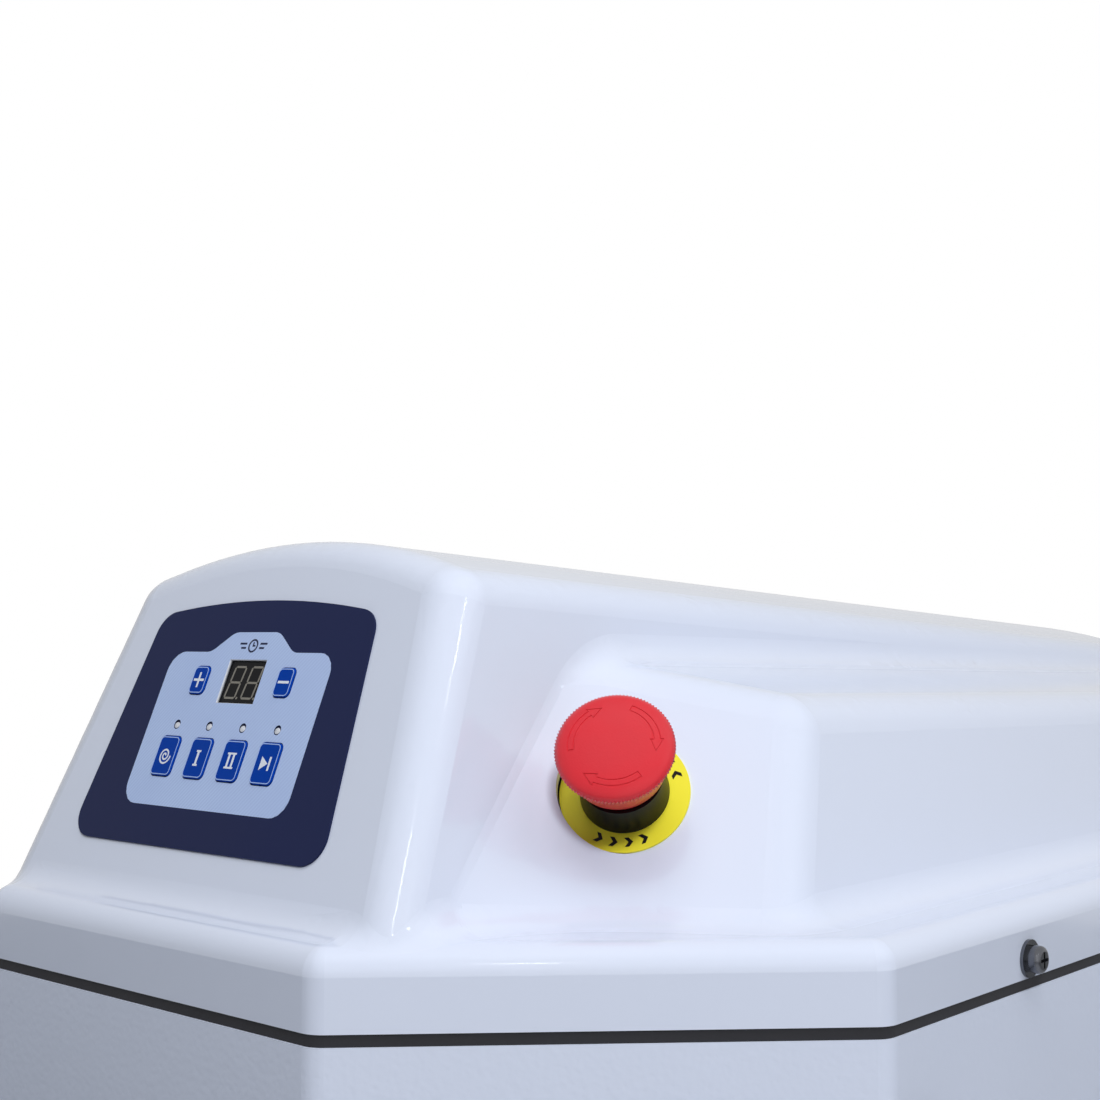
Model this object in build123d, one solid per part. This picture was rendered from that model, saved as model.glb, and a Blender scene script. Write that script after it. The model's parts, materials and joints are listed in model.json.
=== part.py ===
from build123d import *
import os
from math import cos, pi, radians, sin, sqrt, tan

# Spiral dough mixer. Millimetres, +Z up, the operator stands on the -Y side.
# The pieces are drawn with Y = 0 at the front face of the head and Z = 0 on the floor.

# Heights from the floor up
foot_height = 32.0
base_height = 226.0
bowl_floor_gap = 10.0
bowl_depth = 262.0
bowl_wall = 2.0
guard_gap = 12.0
head_gap = 53.0
head_height = 126.0
seal_height = 4.0

base_top = foot_height + base_height
bowl_bottom = base_top + bowl_floor_gap
bowl_floor = bowl_bottom + bowl_wall
bowl_rim = bowl_floor + bowl_depth
guard_z = bowl_rim + guard_gap
head_bottom = bowl_rim + head_gap
head_top = head_bottom + head_height
cover_z = head_top + seal_height

# Plan of the head, column and base: a flat front with two 45 degree corners
front_half = 94.0
corner_leg = 126.0
body_length = 690.0
shell_wall = 2.0
shell_radius = 10.0
body_half = front_half + corner_leg

# Bowl and its drive axis
bowl_y = 72.0
bowl_radius = 200.0
bowl_corner = 40.0
bowl_bead = 5.0
bead_seat = 1.0
base_reach = 220.0
base_front = bowl_y - base_reach
column_gap = 11.0
column_front = bowl_y + bowl_radius + 2 * bowl_bead - bead_seat + column_gap

# Spiral hook and breaker bar
spiral_offset = 100.0
spiral_y = bowl_y + spiral_offset
hook_bar = 13.0
hook_path_radius = 77.0
hook_start_radius = 28.0
hook_end_radius = 60.0
hook_turns = 1.5
hook_floor_gap = 8.0
hook_flange_radius = 50.0
hook_flange = 14.0
hook_flange_drop = 5.0
hook_flange_z = bowl_rim - hook_flange_drop
hook_open_share = 0.3
hook_close_share = 0.72
bar_radius = 14.0
bar_gap = 10.0
bar_floor_gap = 12.0
bar_stud_radius = 10.0
bar_stud = 32.0
bar_nut_height = 16.0
bar_y = spiral_y - hook_path_radius - hook_bar - bar_gap - bar_radius

# Moulded top cover, heights above its lower edge
cover_wall = 3.0
flange_height = 26.0
flange_corner_radius = 10.0
flange_top_radius = 9.0
hump_setback = 16.0
front_lean = 22.5
hump_foot_half = 110.5
hump_draft = 8.5
hump_height = 157.0
hump_crown_half = 88.0
hump_crown_drop = 14.0
roof_fall = 2.9
hump_foot_radius = 13.0
hump_brow_radius = 17.0
hump_roof_radius = 16.0
rear_setback = 22.0
shoulder_rear_step = 8.0
rear_lean = 7.0
pad_turn = 31.9
pad_rise = 32.5
pad_x = 126.1
pad_y = 111.9
pad_z = 66.9
crease_foot = 35.5
crease_lean = 0.93
crease_angle = 10.0
crease_step = 0.6
crease_root = 10.0
side_ledge = 31.5
side_lean = 16.5
shelf_height = 114.1
shelf_x = 85.0
shelf_y = 147.0
shelf_side_fall = 10.8
shelf_rear_fall = 1.3
shelf_root = 10.0
shelf_edge_radius = 20.0
shoulder_edge_radius = 20.0
shoulder_cover = 12.0
blend_radius = 14.0
block_root = 6.0
least_radius = 2.0
window_half = 42.0
window_low = 42.0
window_high = 96.0

# Cover screws with a spring washer and a flat washer, on both sides of the flange
cover_screw_ys = (222.0, 520.0)
cover_screw_height = 7.0
screw_radius = 2.5
screw_head_radius = 4.9
screw_head = 3.6
screw_slot = 1.1
screw_slot_length = 5.6
screw_slot_depth = 1.8
spring_washer_radius = 4.7
spring_washer = 1.3
spring_washer_gap = 1.6
washer_radius = 6.7
washer = 1.2
tab_wall = 3.0
tab_gap = 0.5
tab_half = 18.0
tab_drop = 25.0
screw_end = 3.0
seal_inset = 0.8
seal_width = 2.2

# Control panel, on the sloped front face: distances up the slope from its foot
panel_x = -2.2
overlay_low = 20.4
overlay_high = 111.2
overlay_arch = 5.3
overlay_low_half = 73.0
overlay_high_half = 62.5
overlay_radius = 10.0
overlay_wall = 0.8
key_gap = 0.35
key_rise = 0.7
key_depth = 4.0
key_edge = 0.5
key_width = 12.0
key_height = 15.5
key_pitch = 19.6
key_row = 53.9
key_radius = 2.2
side_key_width = 9.0
side_key_height = 11.2
side_key_x = 24.8
display_row = 84.1
display_width = 21.8
display_height = 17.3
light_row = 66.8
light_radius = 1.5
light_rise = 0.2
board_gap = 4.0
board_wall = 1.6
board_half = 52.0
board_low = 36.0
board_high = 102.0
board_post_radius = 3.0
board_post_inset = 4.0
switch_size = 6.0
switch_gap = 0.6

# Stop button, along its own axis out of the cover
legend_radius = 22.6
legend_wall = 0.8
collar_radius = 15.5
collar_top_radius = 14.5
collar_height = 13.5
collar_floor = 2.0
barrel_radius = 11.0
barrel_length = 22.0
barrel_bore = 8.0
barrel_gap = 0.3
neck_radius = 12.8
neck_gap = 0.4
stop_travel = 4.0
stop_spare = 0.4
stem_radius = 5.0
stem_grip = 7.0
piston_length = 10.0
cap_radius = 20.0
flare_low = 17.8
flare_radius = 19.0
cap_low = 28.0
cap_high = 33.9
cap_edge = 2.2
stop_nut_radius = 16.0
stop_nut_height = 5.0
contact_size = 28.0
contact_length = 30.0

# Bearings: bore, outside and width, and the running clearance on turning shafts
run_gap = 0.03
pin_gap = 0.05
spiral_shaft_radius = 17.5
spiral_race = 36.0
spiral_race_width = 17.0
bowl_shaft_radius = 20.0
bowl_race = 40.0
bowl_race_width = 18.0

# Head plate and the spiral's bearing housing
plate_lift = 15.0
plate_wall = 12.0
plate_inset = 22.0
housing_wall = 10.0
housing_drop = 19.0
housing_rise = 43.0
housing_flange_radius = 75.0
housing_flange = 12.0
housing_gap = 0.2
opening_gap = 1.0
seal_ring = 5.0
shaft_flange_radius = 50.0
shaft_flange = 14.0
hook_bolt_circle = 36.0
hook_bolt_count = 4

# Hexagon bolts of the housings and the motor
bolt_radius = 5.0
bolt_length = 22.0
bolt_head_radius = 9.2
bolt_head = 6.4
bolt_gap = 0.1
housing_bolt_circle = 62.0
housing_bolt_count = 4

# Belts and pulleys
groove_pitch = 14.0
groove_width = 9.0
groove_depth = 9.0
groove_land = 3.0
belt_gap = 0.5
belt_wall = 7.0
pitch_rise = 4.0
pulley_web = 12.0
pulley_rim = 8.0
spiral_pitch_radius = 146.0
spiral_hub_radius = 36.0
motor_pitch_radius = 28.0
spiral_belt_count = 3
pulley_lift = 3.0
pulley_end = 4.0
bowl_pitch_radius = 116.0
bowl_hub_radius = 40.0
gear_pitch_radius = 34.0
bowl_belt_count = 1
bowl_pulley_z = 104.0

# Spiral motor
motor_y = 455.0
motor_radius = 79.0
motor_fin = 7.0
motor_fin_wall = 3.0
motor_fin_count = 28
motor_fin_end = 22.0
motor_length = 228.0
motor_flange_radius = 92.0
motor_flange = 12.0
motor_bolt_circle = 79.0
motor_shaft_radius = 14.0
motor_shaft_end = 50.0
motor_plate_hole = 40.0

# Bowl shaft, housing and gearmotor
hub_radius = 60.0
hub_height = 12.0
hub_opening_gap = 3.0
bowl_bolt_circle = 40.0
bowl_bolt_count = 4
bowl_bolt_radius = 4.0
bowl_bolt_head_radius = 7.0
bowl_bolt_head = 4.0
bowl_bolt_socket = 2.0
bowl_bolt_length = 12.0
bowl_bolt_gap = 0.2
bowl_housing_end = 8.0
gear_y = 430.0
gearbox_half = 58.0
gearbox_height = 70.0
gear_motor_radius = 54.0
gear_motor_height = 112.0
gear_shaft_radius = 12.0
gear_shaft_grip = 30.0
gear_plate_hole = 20.0

# Welded frame of square tube
tube = 40.0
tube_wall = 3.0
frame_lift = 8.0
rail_x = 120.0
rail_front = -92.0
rail_rear = 634.0
upright_y = 330.0
outrigger_y = 40.0
bridge_z = 150.0
bridge_wall = 12.0
bridge_leg = 10.0
bowl_bridge_half = 100.0
gear_bridge_half = 75.0
bridge_half = 138.0
front_foot_y = -72.0
rear_foot_x = 165.0
foot_radius = 26.0
foot_pad = 12.0
foot_edge = 3.0
foot_cone = 10.0
foot_cone_radius = 15.0
stud_radius = 6.0
stud_length = 40.0
stud_gap = 0.1

# Rear service panel and its screws
rear_open_half = 176.0
rear_open_low = 70.0
rear_open_high = 682.0
rear_lap = 12.0
rear_screw_inset = 6.0
rear_screw_zs = (90.0, 230.0, 300.0, 425.0, 555.0, 668.0)
rear_screw_length = 8.0
louvre_width = 64.0
louvre_height = 14.0
louvre_depth = 6.0
louvre_wall = 1.5
louvre_pitch = 26.0
louvre_low = 330.0
louvre_rows = 7
louvre_xs = (-80.0, 0.0, 80.0)

# Supply cable gland
gland_x = 120.0
gland_z = 130.0
gland_radius = 9.0
gland_flange_radius = 14.0
gland_flange = 8.0
gland_nut_radius = 12.0
gland_nut = 18.0
gland_bore = 5.0
gland_inside = 12.0
gland_gap = 0.1

# Motor switching
electric_low = 300.0
electric_high = 540.0
electric_wall = 2.0
electric_half = 135.0
contactor_pitch = 62.0
contactor_width = 44.0
contactor_depth = 40.0
contactor_height = 76.0
contactor_low = 380.0
contactor_count = 3

# Bowl guard, its arms, pivots and interlock
guard_rod = 4.0
guard_bar = 2.2
guard_back_bar = 3.0
guard_radius = 218.0
guard_bar_pitch = 31.0
guard_bars = 6
guard_front_gap = 14.0
guard_leg = 36.0
weld = 0.5
arm_wall = 5.0
arm_foot_radius = 11.0
arm_hub_radius = 15.0
arm_foot_y = 96.0
pivot_y = 140.0
pivot_drop = 48.0
pivot_radius = 6.0
pivot_inside = 10.0
pivot_head_radius = 10.0
pivot_head = 4.5
pivot_play = 1.0
switch_half_y = 15.0
switch_half_z = 25.0
switch_depth = 18.0
switch_back = 30.0

# Places worked out from the values above
overall_rear = body_length + shell_wall + gland_flange + gland_nut
overall_front = bowl_y - guard_radius - guard_rod
origin_y = (overall_front + overall_rear) / 2
plate_z = head_bottom + plate_lift
plate_top = plate_z + plate_wall
rail_z = foot_height + frame_lift
rail_top = rail_z + tube
rear_tube_y = rail_rear - tube / 2
housing_radius = spiral_race + housing_wall
housing_top = plate_top + housing_rise
spiral_pulley_z = housing_top + pulley_lift
pivot_z = cover_z - pivot_drop
bridge_top = bridge_z + bridge_wall
bowl_housing_top = bowl_bottom - hub_height - bowl_housing_end
panel_foot = (0.0, hump_setback, cover_z + flange_height)
panel_plane = Plane(
    origin=panel_foot,
    x_dir=(1, 0, 0),
    z_dir=(0, -cos(radians(front_lean)), sin(radians(front_lean))),
)
pad_normal = (
    sin(radians(pad_turn)) * cos(radians(pad_rise)),
    -cos(radians(pad_turn)) * cos(radians(pad_rise)),
    sin(radians(pad_rise)),
)
pad_plane = Plane(
    origin=(pad_x, pad_y, cover_z + pad_z),
    x_dir=(cos(radians(pad_turn)), sin(radians(pad_turn)), 0),
    z_dir=pad_normal,
)


# Basic shapes
def block(x0, x1, y0, y1, z0, z1):
    centre = Pos((x0 + x1) / 2, (y0 + y1) / 2, (z0 + z1) / 2)
    return centre * Box(x1 - x0, y1 - y0, z1 - z0)


def rod(x, y, z0, z1, radius):
    return Pos(x, y, (z0 + z1) / 2) * Cylinder(radius, z1 - z0)


def ring(x, y, z0, z1, outer, inner):
    return rod(x, y, z0, z1, outer) - rod(x, y, z0, z1, inner)


def hexagon(x, y, z0, z1, radius):
    return extrude(Pos(x, y, z0) * RegularPolygon(radius, 6), amount=z1 - z0)


def beam(start, end, radius):
    along = Vector(*end) - Vector(*start)
    place = Plane(origin=start, z_dir=along)
    low = (Align.CENTER, Align.CENTER, Align.MIN)
    return place * Cylinder(radius, along.length, align=low)


def polar(y, radius, count):
    turns = [(k + 0.5) * 2 * pi / count for k in range(count)]
    return [(radius * cos(t), y + radius * sin(t)) for t in turns]


def square_tube(x0, x1, y0, y1, z0, z1, axis):
    inside = [[x0, x1], [y0, y1], [z0, z1]]
    for k in range(3):
        grow = tube_wall if k != axis else -tube_wall
        inside[k] = [inside[k][0] + grow, inside[k][1] - grow]
    return block(x0, x1, y0, y1, z0, z1) - block(*inside[0], *inside[1], *inside[2])


def plan(front, rear, inset, radius):
    low = front + inset
    half = body_half - inset
    narrow = front_half - inset * (sqrt(2) - 1)
    back = rear - inset
    corner = low + half - narrow
    points = [(-narrow, low), (narrow, low), (half, corner), (half, back), (-half, back), (-half, corner)]
    face = make_face(Polyline(*points, close=True))
    return fillet(face.vertices(), max(radius - inset, least_radius))


def prism(face, z0, z1):
    return extrude(Pos(0, 0, z0) * face, amount=z1 - z0)


def trim(solid, point, normal, inset):
    out = Vector(*normal).normalized()
    cut = Plane(origin=Vector(*point) - out * inset, z_dir=out)
    return split(solid, bisect_by=cut, keep=Keep.BOTTOM)


def group(solids):
    return Compound(children=[part.solid() for part in solids])


# Top cover, drawn above its own lower edge and set inward for the inside of the wall
def cover_flange(inset):
    face = plan(0, body_length, inset, flange_corner_radius)
    body = prism(face, -inset, flange_height - inset)
    top = body.faces().sort_by(Axis.Z)[-1].edges()
    return fillet(top, max(flange_top_radius - inset, least_radius))


# How far a leaning face stands in from its foot, at a rise above the foot
def lean_in(angle, rise, inset):
    return rise * tan(radians(angle)) + inset / cos(radians(angle))


def hump_face(z, radius, inset):
    rise = z - flange_height
    half = hump_foot_half - lean_in(hump_draft, rise, inset)
    front = hump_setback + lean_in(front_lean, rise, inset)
    back = body_length - rear_setback - lean_in(rear_lean, rise, inset)
    face = RectangleRounded(2 * half, back - front, max(radius - inset, least_radius))
    return Pos(0, (front + back) / 2, z) * face


def cover_hump(inset):
    foot = hump_face(flange_height - block_root, hump_foot_radius, inset)
    top = hump_face(hump_height + blend_radius, hump_brow_radius, inset)
    body = loft([foot, top], ruled=True)
    crown = (hump_crown_half ** 2 + hump_crown_drop ** 2) / (2 * hump_crown_drop)
    fall = radians(roof_fall)
    brow = hump_setback + tan(radians(front_lean)) * (hump_height - flange_height)
    axis = Plane(
        origin=(0, brow, hump_height - crown / cos(fall)),
        x_dir=(1, 0, 0),
        z_dir=(0, cos(fall), -sin(fall)),
    )
    body = body & (axis * Cylinder(crown - inset, 3 * body_length))
    middle = (flange_height + hump_height) / 2
    roof = [e for e in body.edges() if min((e @ 0).Z, (e @ 1).Z) > middle]
    return fillet(roof, max(hump_roof_radius - inset, least_radius))


def trim_front(body, inset):
    lean = radians(front_lean)
    return trim(body, (0, hump_setback, flange_height), (0, -cos(lean), sin(lean)), inset)


def trim_rear(body, inset):
    lean = radians(rear_lean)
    return trim(body, (0, body_length - rear_setback, flange_height), (0, cos(lean), sin(lean)), inset)


def meeting(point_a, way_a, point_b, way_b):
    cross = way_a.X * way_b.Y - way_a.Y * way_b.X
    gap = point_b - point_a
    return point_a + way_a * ((gap.X * way_b.Y - gap.Y * way_b.X) / cross)


# Plan of both shoulders at a height: a hollow from the hump's wall to the pad, the pad, then the side
def shoulder_face(z, inset):
    rise = z - flange_height
    wall_x = hump_foot_half - lean_in(hump_draft, rise, inset)
    crease = Vector(wall_x, crease_foot + rise * crease_lean + inset, 0)
    guide = Vector(sin(radians(crease_angle)), cos(radians(crease_angle)), 0)
    along = Vector(cos(radians(pad_turn)), sin(radians(pad_turn)), 0)
    inward = Vector(-sin(radians(pad_turn)), cos(radians(pad_turn)), 0)
    pad = Vector(pad_x, pad_y, 0) + inward * lean_in(pad_rise, z - pad_z, inset)
    corner = meeting(crease, guide, pad, along)
    length = (corner - crease).length - crease_step
    start = corner - guide * length
    end = corner + along * length
    root = crease - guide * crease_root
    side_x = body_half - side_ledge - lean_in(side_lean, rise, inset)
    edge = meeting(pad, along, Vector(side_x, 0, 0), Vector(0, 1, 0))
    half = Curve() + [
        Line((0, root.Y), (root.X, root.Y)),
        Line((root.X, root.Y), (start.X, start.Y)),
        TangentArc((start.X, start.Y), (end.X, end.Y), tangent=(guide.X, guide.Y)),
        Line((end.X, end.Y), (edge.X, edge.Y)),
        Line((edge.X, edge.Y), (side_x, body_length)),
        Line((side_x, body_length), (0, body_length)),
    ]
    return Pos(0, 0, z) * make_face(half + mirror(half, about=Plane.YZ))


def cover_shoulder(inset):
    foot = shoulder_face(flange_height - block_root, inset)
    top = shoulder_face(shelf_height + shelf_root, inset)
    body = loft([foot, top], ruled=True)
    for side in (-1, 1):
        shelf = (side * tan(radians(shelf_side_fall)), tan(radians(shelf_rear_fall)), 1)
        body = trim(body, (side * shelf_x, shelf_y, shelf_height), shelf, inset)
    body = trim_front(body, inset + shoulder_cover)
    body = trim_rear(body, inset + shoulder_rear_step)
    outside = [e for e in body.edges() if abs((e @ 0.5).X) > hump_foot_half and (e @ 0.5).Z > flange_height]
    brow = [e for e in outside if abs((e @ 1).Y - (e @ 0).Y) > body_length / 3]
    body = fillet(brow, max(shelf_edge_radius - inset, least_radius))
    outside = [e for e in body.edges() if abs((e @ 0.5).X) > hump_foot_half and (e @ 0.5).Z > flange_height]
    ends = [e for e in outside if abs((e @ 1).Y - (e @ 0).Y) < body_length / 3]
    return fillet(ends, max(shoulder_edge_radius - inset, least_radius))


def make_top_cover():
    blocks = [cover_flange(0), cover_hump(0), cover_shoulder(0)]
    outside = blocks[0] + blocks[1] + blocks[2]
    meets = []
    for edge in outside.edges():
        middle = Vertex(*(edge @ 0.5))
        touching = [part for part in blocks if part.distance_to(middle) < 0.001]
        if len(touching) > 1 and middle.Z > flange_height - 1:
            meets.append(edge)
    outside = fillet(meets, blend_radius)
    inside = cover_flange(cover_wall) + cover_hump(cover_wall) + cover_shoulder(cover_wall)
    cover = Pos(0, 0, cover_z) * (outside - inside)
    window = Rectangle(2 * window_half, window_high - window_low)
    window = Pos(panel_x, (window_low + window_high) / 2) * window
    cover -= extrude(panel_plane * window, amount=2 * cover_wall, both=True)
    cover -= extrude(pad_plane * Circle(barrel_radius + barrel_gap), amount=2 * cover_wall, both=True)
    cover -= extrude(pad_plane * Circle(legend_radius + barrel_gap), amount=collar_height)
    for side in (-1, 1):
        for y in cover_screw_ys:
            inner = (side * (body_half - 2 * cover_wall), y, cover_z + cover_screw_height)
            outer = (side * (body_half + cover_wall), y, cover_z + cover_screw_height)
            cover -= beam(inner, outer, screw_radius + tab_gap)
    return cover


def make_cover_seal():
    inner_inset = seal_inset + seal_width
    outer = prism(plan(0, body_length, seal_inset, shell_radius), head_top, cover_z)
    return outer - prism(plan(0, body_length, inner_inset, shell_radius), head_top, cover_z)


# Pan head screw along +Z with its seat at Z = 0
def pan_screw(length):
    body = rod(0, 0, -length, 0, screw_radius)
    head = rod(0, 0, 0, screw_head, screw_head_radius)
    head = fillet(head.edges().group_by(Axis.Z)[-1], screw_head / 2)
    floor = screw_head - screw_slot_depth
    cross = Pos(0, 0, floor + screw_slot_depth / 2) * Box(screw_slot_length, screw_slot, screw_slot_depth)
    return body + head - cross - Rot(0, 0, 90) * cross


def cover_screw_planes():
    height = cover_z + cover_screw_height
    planes = []
    for side in (-1, 1):
        for y in cover_screw_ys:
            planes.append(Plane(origin=(side * body_half, y, height), x_dir=(0, 1, 0), z_dir=(side, 0, 0)))
    return planes


def make_cover_screws():
    length = washer + spring_washer + cover_wall + tab_gap + tab_wall + screw_end
    screw = Pos(0, 0, washer + spring_washer) * pan_screw(length)
    return group([place * screw for place in cover_screw_planes()])


def make_cover_spring_washers():
    body = ring(0, 0, washer, washer + spring_washer, spring_washer_radius, screw_radius + pin_gap)
    split_gap = Pos(0, spring_washer_radius, washer + spring_washer / 2)
    body -= split_gap * Box(spring_washer_gap, 2 * spring_washer_radius - screw_radius, 2 * spring_washer)
    return group([place * body for place in cover_screw_planes()])


def make_cover_washers():
    body = ring(0, 0, 0, washer, washer_radius, screw_radius + pin_gap)
    return group([place * body for place in cover_screw_planes()])


# Painted sheet housings
def rear_opening():
    reach = 4 * shell_wall
    return block(-rear_open_half, rear_open_half, body_length - reach, body_length + reach,
                 rear_open_low, rear_open_high)


def rear_screw_points():
    x = rear_open_half + rear_screw_inset
    return [(side * x, z) for side in (-1, 1) for z in rear_screw_zs]


def drill_rear(shell):
    for x, z in rear_screw_points():
        reach = 4 * shell_wall
        shell -= beam((x, body_length - reach, z), (x, body_length + reach, z), screw_radius + pin_gap)
    return shell


def column_way(z0, z1):
    half = body_half - 4 * shell_wall
    return block(-half, half, column_front + 4 * shell_wall, body_length - 4 * shell_wall, z0, z1)


def make_base_shell():
    outer = prism(plan(base_front, body_length, 0, shell_radius), foot_height, base_top)
    inside = plan(base_front, body_length, shell_wall, shell_radius)
    inner = prism(inside, foot_height, base_top - shell_wall)
    shell = outer - inner
    shell -= rod(0, bowl_y, base_top - 2 * shell_wall, base_top + shell_wall, hub_radius + hub_opening_gap)
    shell -= column_way(base_top - 2 * shell_wall, base_top + shell_wall)
    shell -= rear_opening()
    return drill_rear(shell)


def column_plan(inset):
    width = 2 * (body_half - inset)
    depth = body_length - column_front - 2 * inset
    middle = (body_length + column_front) / 2
    face = Pos(0, middle) * Rectangle(width, depth)
    return fillet(face.vertices(), max(shell_radius - inset, least_radius))


def make_column_shell():
    outer = prism(column_plan(0), base_top, head_bottom)
    shell = outer - prism(column_plan(shell_wall), base_top, head_bottom)
    shell -= rear_opening()
    return drill_rear(shell)


def cover_tab(side, y):
    outer = body_half - cover_wall - tab_gap
    top = cover_z + flange_height - flange_top_radius - tab_gap
    low = head_top - tab_drop
    xs = sorted((side * (outer - tab_wall), side * outer))
    tab = block(*xs, y - tab_half, y + tab_half, low, top)
    xs = sorted((side * outer, side * (body_half - shell_wall)))
    tab += block(*xs, y - tab_half, y + tab_half, low, head_top - shell_wall)
    height = cover_z + cover_screw_height
    inner = (side * (outer - 2 * tab_wall), y, height)
    return tab - beam(inner, (side * body_half, y, height), screw_radius + pin_gap)


def make_head_shell():
    outer = prism(plan(0, body_length, 0, shell_radius), head_bottom, head_top)
    inner = prism(plan(0, body_length, shell_wall, shell_radius), head_bottom + shell_wall, head_top)
    shell = outer - inner
    shell -= column_way(head_bottom - shell_wall, head_bottom + 2 * shell_wall)
    low = head_bottom - shell_wall
    high = head_bottom + 2 * shell_wall
    shell -= rod(0, spiral_y, low, high, housing_radius + opening_gap)
    shell -= rod(0, bar_y, low, high, bar_radius + opening_gap)
    shell -= rear_opening()
    for side in (-1, 1):
        inner = (side * (body_half - 2 * shell_wall), pivot_y, pivot_z)
        shell -= beam(inner, (side * (body_half + shell_wall), pivot_y, pivot_z), pivot_radius + pin_gap)
        for y in cover_screw_ys:
            shell += cover_tab(side, y)
    return drill_rear(shell)


def louvre(x, z):
    low = (body_length + shell_wall, z)
    hood = [low, (low[0] + louvre_depth, z), (low[0], z + louvre_height)]
    shape = make_face(Polyline(*hood, close=True))
    solid = extrude(Plane.YZ.offset(x) * shape, amount=louvre_width / 2, both=True)
    return solid


def louvre_hollow(x, z):
    low = body_length - shell_wall
    reach = body_length + shell_wall + louvre_depth - 2 * louvre_wall
    hollow = [(low, z - louvre_wall), (reach, z - louvre_wall), (low, z + louvre_height - 2 * louvre_wall)]
    shape = make_face(Polyline(*hollow, close=True))
    return extrude(Plane.YZ.offset(x) * shape, amount=louvre_width / 2 - louvre_wall, both=True)


def make_rear_panel():
    half = rear_open_half + rear_lap
    panel = block(-half, half, body_length, body_length + shell_wall,
                  rear_open_low - rear_lap, rear_open_high + rear_lap)
    for x in louvre_xs:
        for row in range(louvre_rows):
            z = louvre_low + row * louvre_pitch
            panel += louvre(x, z)
            panel -= louvre_hollow(x, z)
    panel -= beam((gland_x, body_length - shell_wall, gland_z),
                  (gland_x, body_length + 2 * shell_wall, gland_z), gland_radius + gland_gap)
    return drill_rear(panel)


def make_rear_panel_screws():
    screw = pan_screw(rear_screw_length)
    seat = body_length + shell_wall
    places = [Plane(origin=(x, seat, z), x_dir=(1, 0, 0), z_dir=(0, 1, 0)) for x, z in rear_screw_points()]
    return group([place * screw for place in places])


def make_cable_gland():
    face = body_length + shell_wall
    place = Plane(origin=(gland_x, face, gland_z), x_dir=(1, 0, 0), z_dir=(0, 1, 0))
    body = rod(0, 0, -gland_inside, gland_flange, gland_radius)
    body += hexagon(0, 0, 0, gland_flange, gland_flange_radius)
    nut = hexagon(0, 0, gland_flange, gland_flange + gland_nut, gland_nut_radius)
    cap = rod(0, 0, gland_flange, gland_flange + gland_nut, gland_nut_radius)
    cap = fillet(cap.edges().group_by(Axis.Z)[-1], gland_nut_radius / 3)
    body += nut & cap
    body -= rod(0, 0, -gland_inside, gland_flange + gland_nut, gland_bore)
    return place * body


# Welded frame, head plate and feet
def bridge(y, half, hole):
    body = block(-bridge_half, bridge_half, y - half, y + half, bridge_z, bridge_top)
    for side in (-1, 1):
        xs = sorted((side * bridge_half, side * (bridge_half - bridge_leg)))
        body += block(*xs, y - half, y + half, rail_top, bridge_z)
    return body - rod(0, y, bridge_z, bridge_top, hole)


def foot_points():
    front = [(side * rail_x, front_foot_y) for side in (-1, 1)]
    return front + [(side * rear_foot_x, rear_tube_y) for side in (-1, 1)]


def make_main_frame():
    half = tube / 2
    inner = rail_x - half
    reach = body_half - shell_wall
    frame = square_tube(-inner, inner, rail_front, rail_front + tube, rail_z, rail_top, 0)
    frame += square_tube(-inner, inner, rail_rear - tube, rail_rear, rail_z, rail_top, 0)
    for side in (-1, 1):
        x = side * rail_x
        frame += square_tube(x - half, x + half, rail_front, rail_rear, rail_z, rail_top, 1)
        for y in (outrigger_y, rear_tube_y):
            xs = sorted((side * (rail_x + half), side * reach))
            frame += square_tube(*xs, y - half, y + half, rail_z, rail_top, 0)
        for y in (upright_y, rear_tube_y):
            frame += square_tube(x - half, x + half, y - half, y + half, rail_top, plate_z, 2)
    frame += bridge(bowl_y, bowl_bridge_half, bowl_race)
    frame += bridge(gear_y, gear_bridge_half, gear_plate_hole)
    for x, y in foot_points():
        frame -= rod(x, y, rail_z, rail_z + half, stud_radius + stud_gap)
    for x, y in polar(bowl_y, housing_bolt_circle, housing_bolt_count):
        frame -= rod(x, y, bridge_z, bridge_top, bolt_radius + bolt_gap)
    return frame


def make_levelling_feet():
    feet = []
    for x, y in foot_points():
        pad = rod(x, y, 0, foot_pad, foot_radius)
        pad = fillet(pad.edges().group_by(Axis.Z)[-1], foot_edge)
        cone = Cone(foot_radius - foot_edge, foot_cone_radius, foot_cone)
        pad += Pos(x, y, foot_pad + foot_cone / 2) * cone
        feet.append(pad + rod(x, y, foot_pad, foot_pad + foot_cone + stud_length, stud_radius))
    return group(feet)


def make_head_plate():
    plate = prism(plan(0, body_length, plate_inset, shell_radius), plate_z, plate_top)
    plate -= rod(0, spiral_y, plate_z, plate_top, housing_radius + housing_gap)
    plate -= rod(0, bar_y, plate_z, plate_top, bar_stud_radius + housing_gap)
    plate -= rod(0, motor_y, plate_z, plate_top, motor_plate_hole)
    points = polar(spiral_y, housing_bolt_circle, housing_bolt_count)
    points += polar(motor_y, motor_bolt_circle, housing_bolt_count)
    for x, y in points:
        plate -= rod(x, y, plate_z, plate_top, bolt_radius + bolt_gap)
    return plate


def hex_bolt(x, y, seat):
    shank = rod(x, y, seat - bolt_length, seat, bolt_radius)
    return shank + hexagon(x, y, seat, seat + bolt_head, bolt_head_radius)


def make_frame_bolts():
    bolts = []
    seats = [
        (spiral_y, housing_bolt_circle, plate_top + housing_flange),
        (bowl_y, housing_bolt_circle, bridge_top + housing_flange),
        (motor_y, motor_bolt_circle, plate_top),
    ]
    for y, circle, seat in seats:
        bolts += [hex_bolt(px, py, seat) for px, py in polar(y, circle, housing_bolt_count)]
    return group(bolts)


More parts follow.
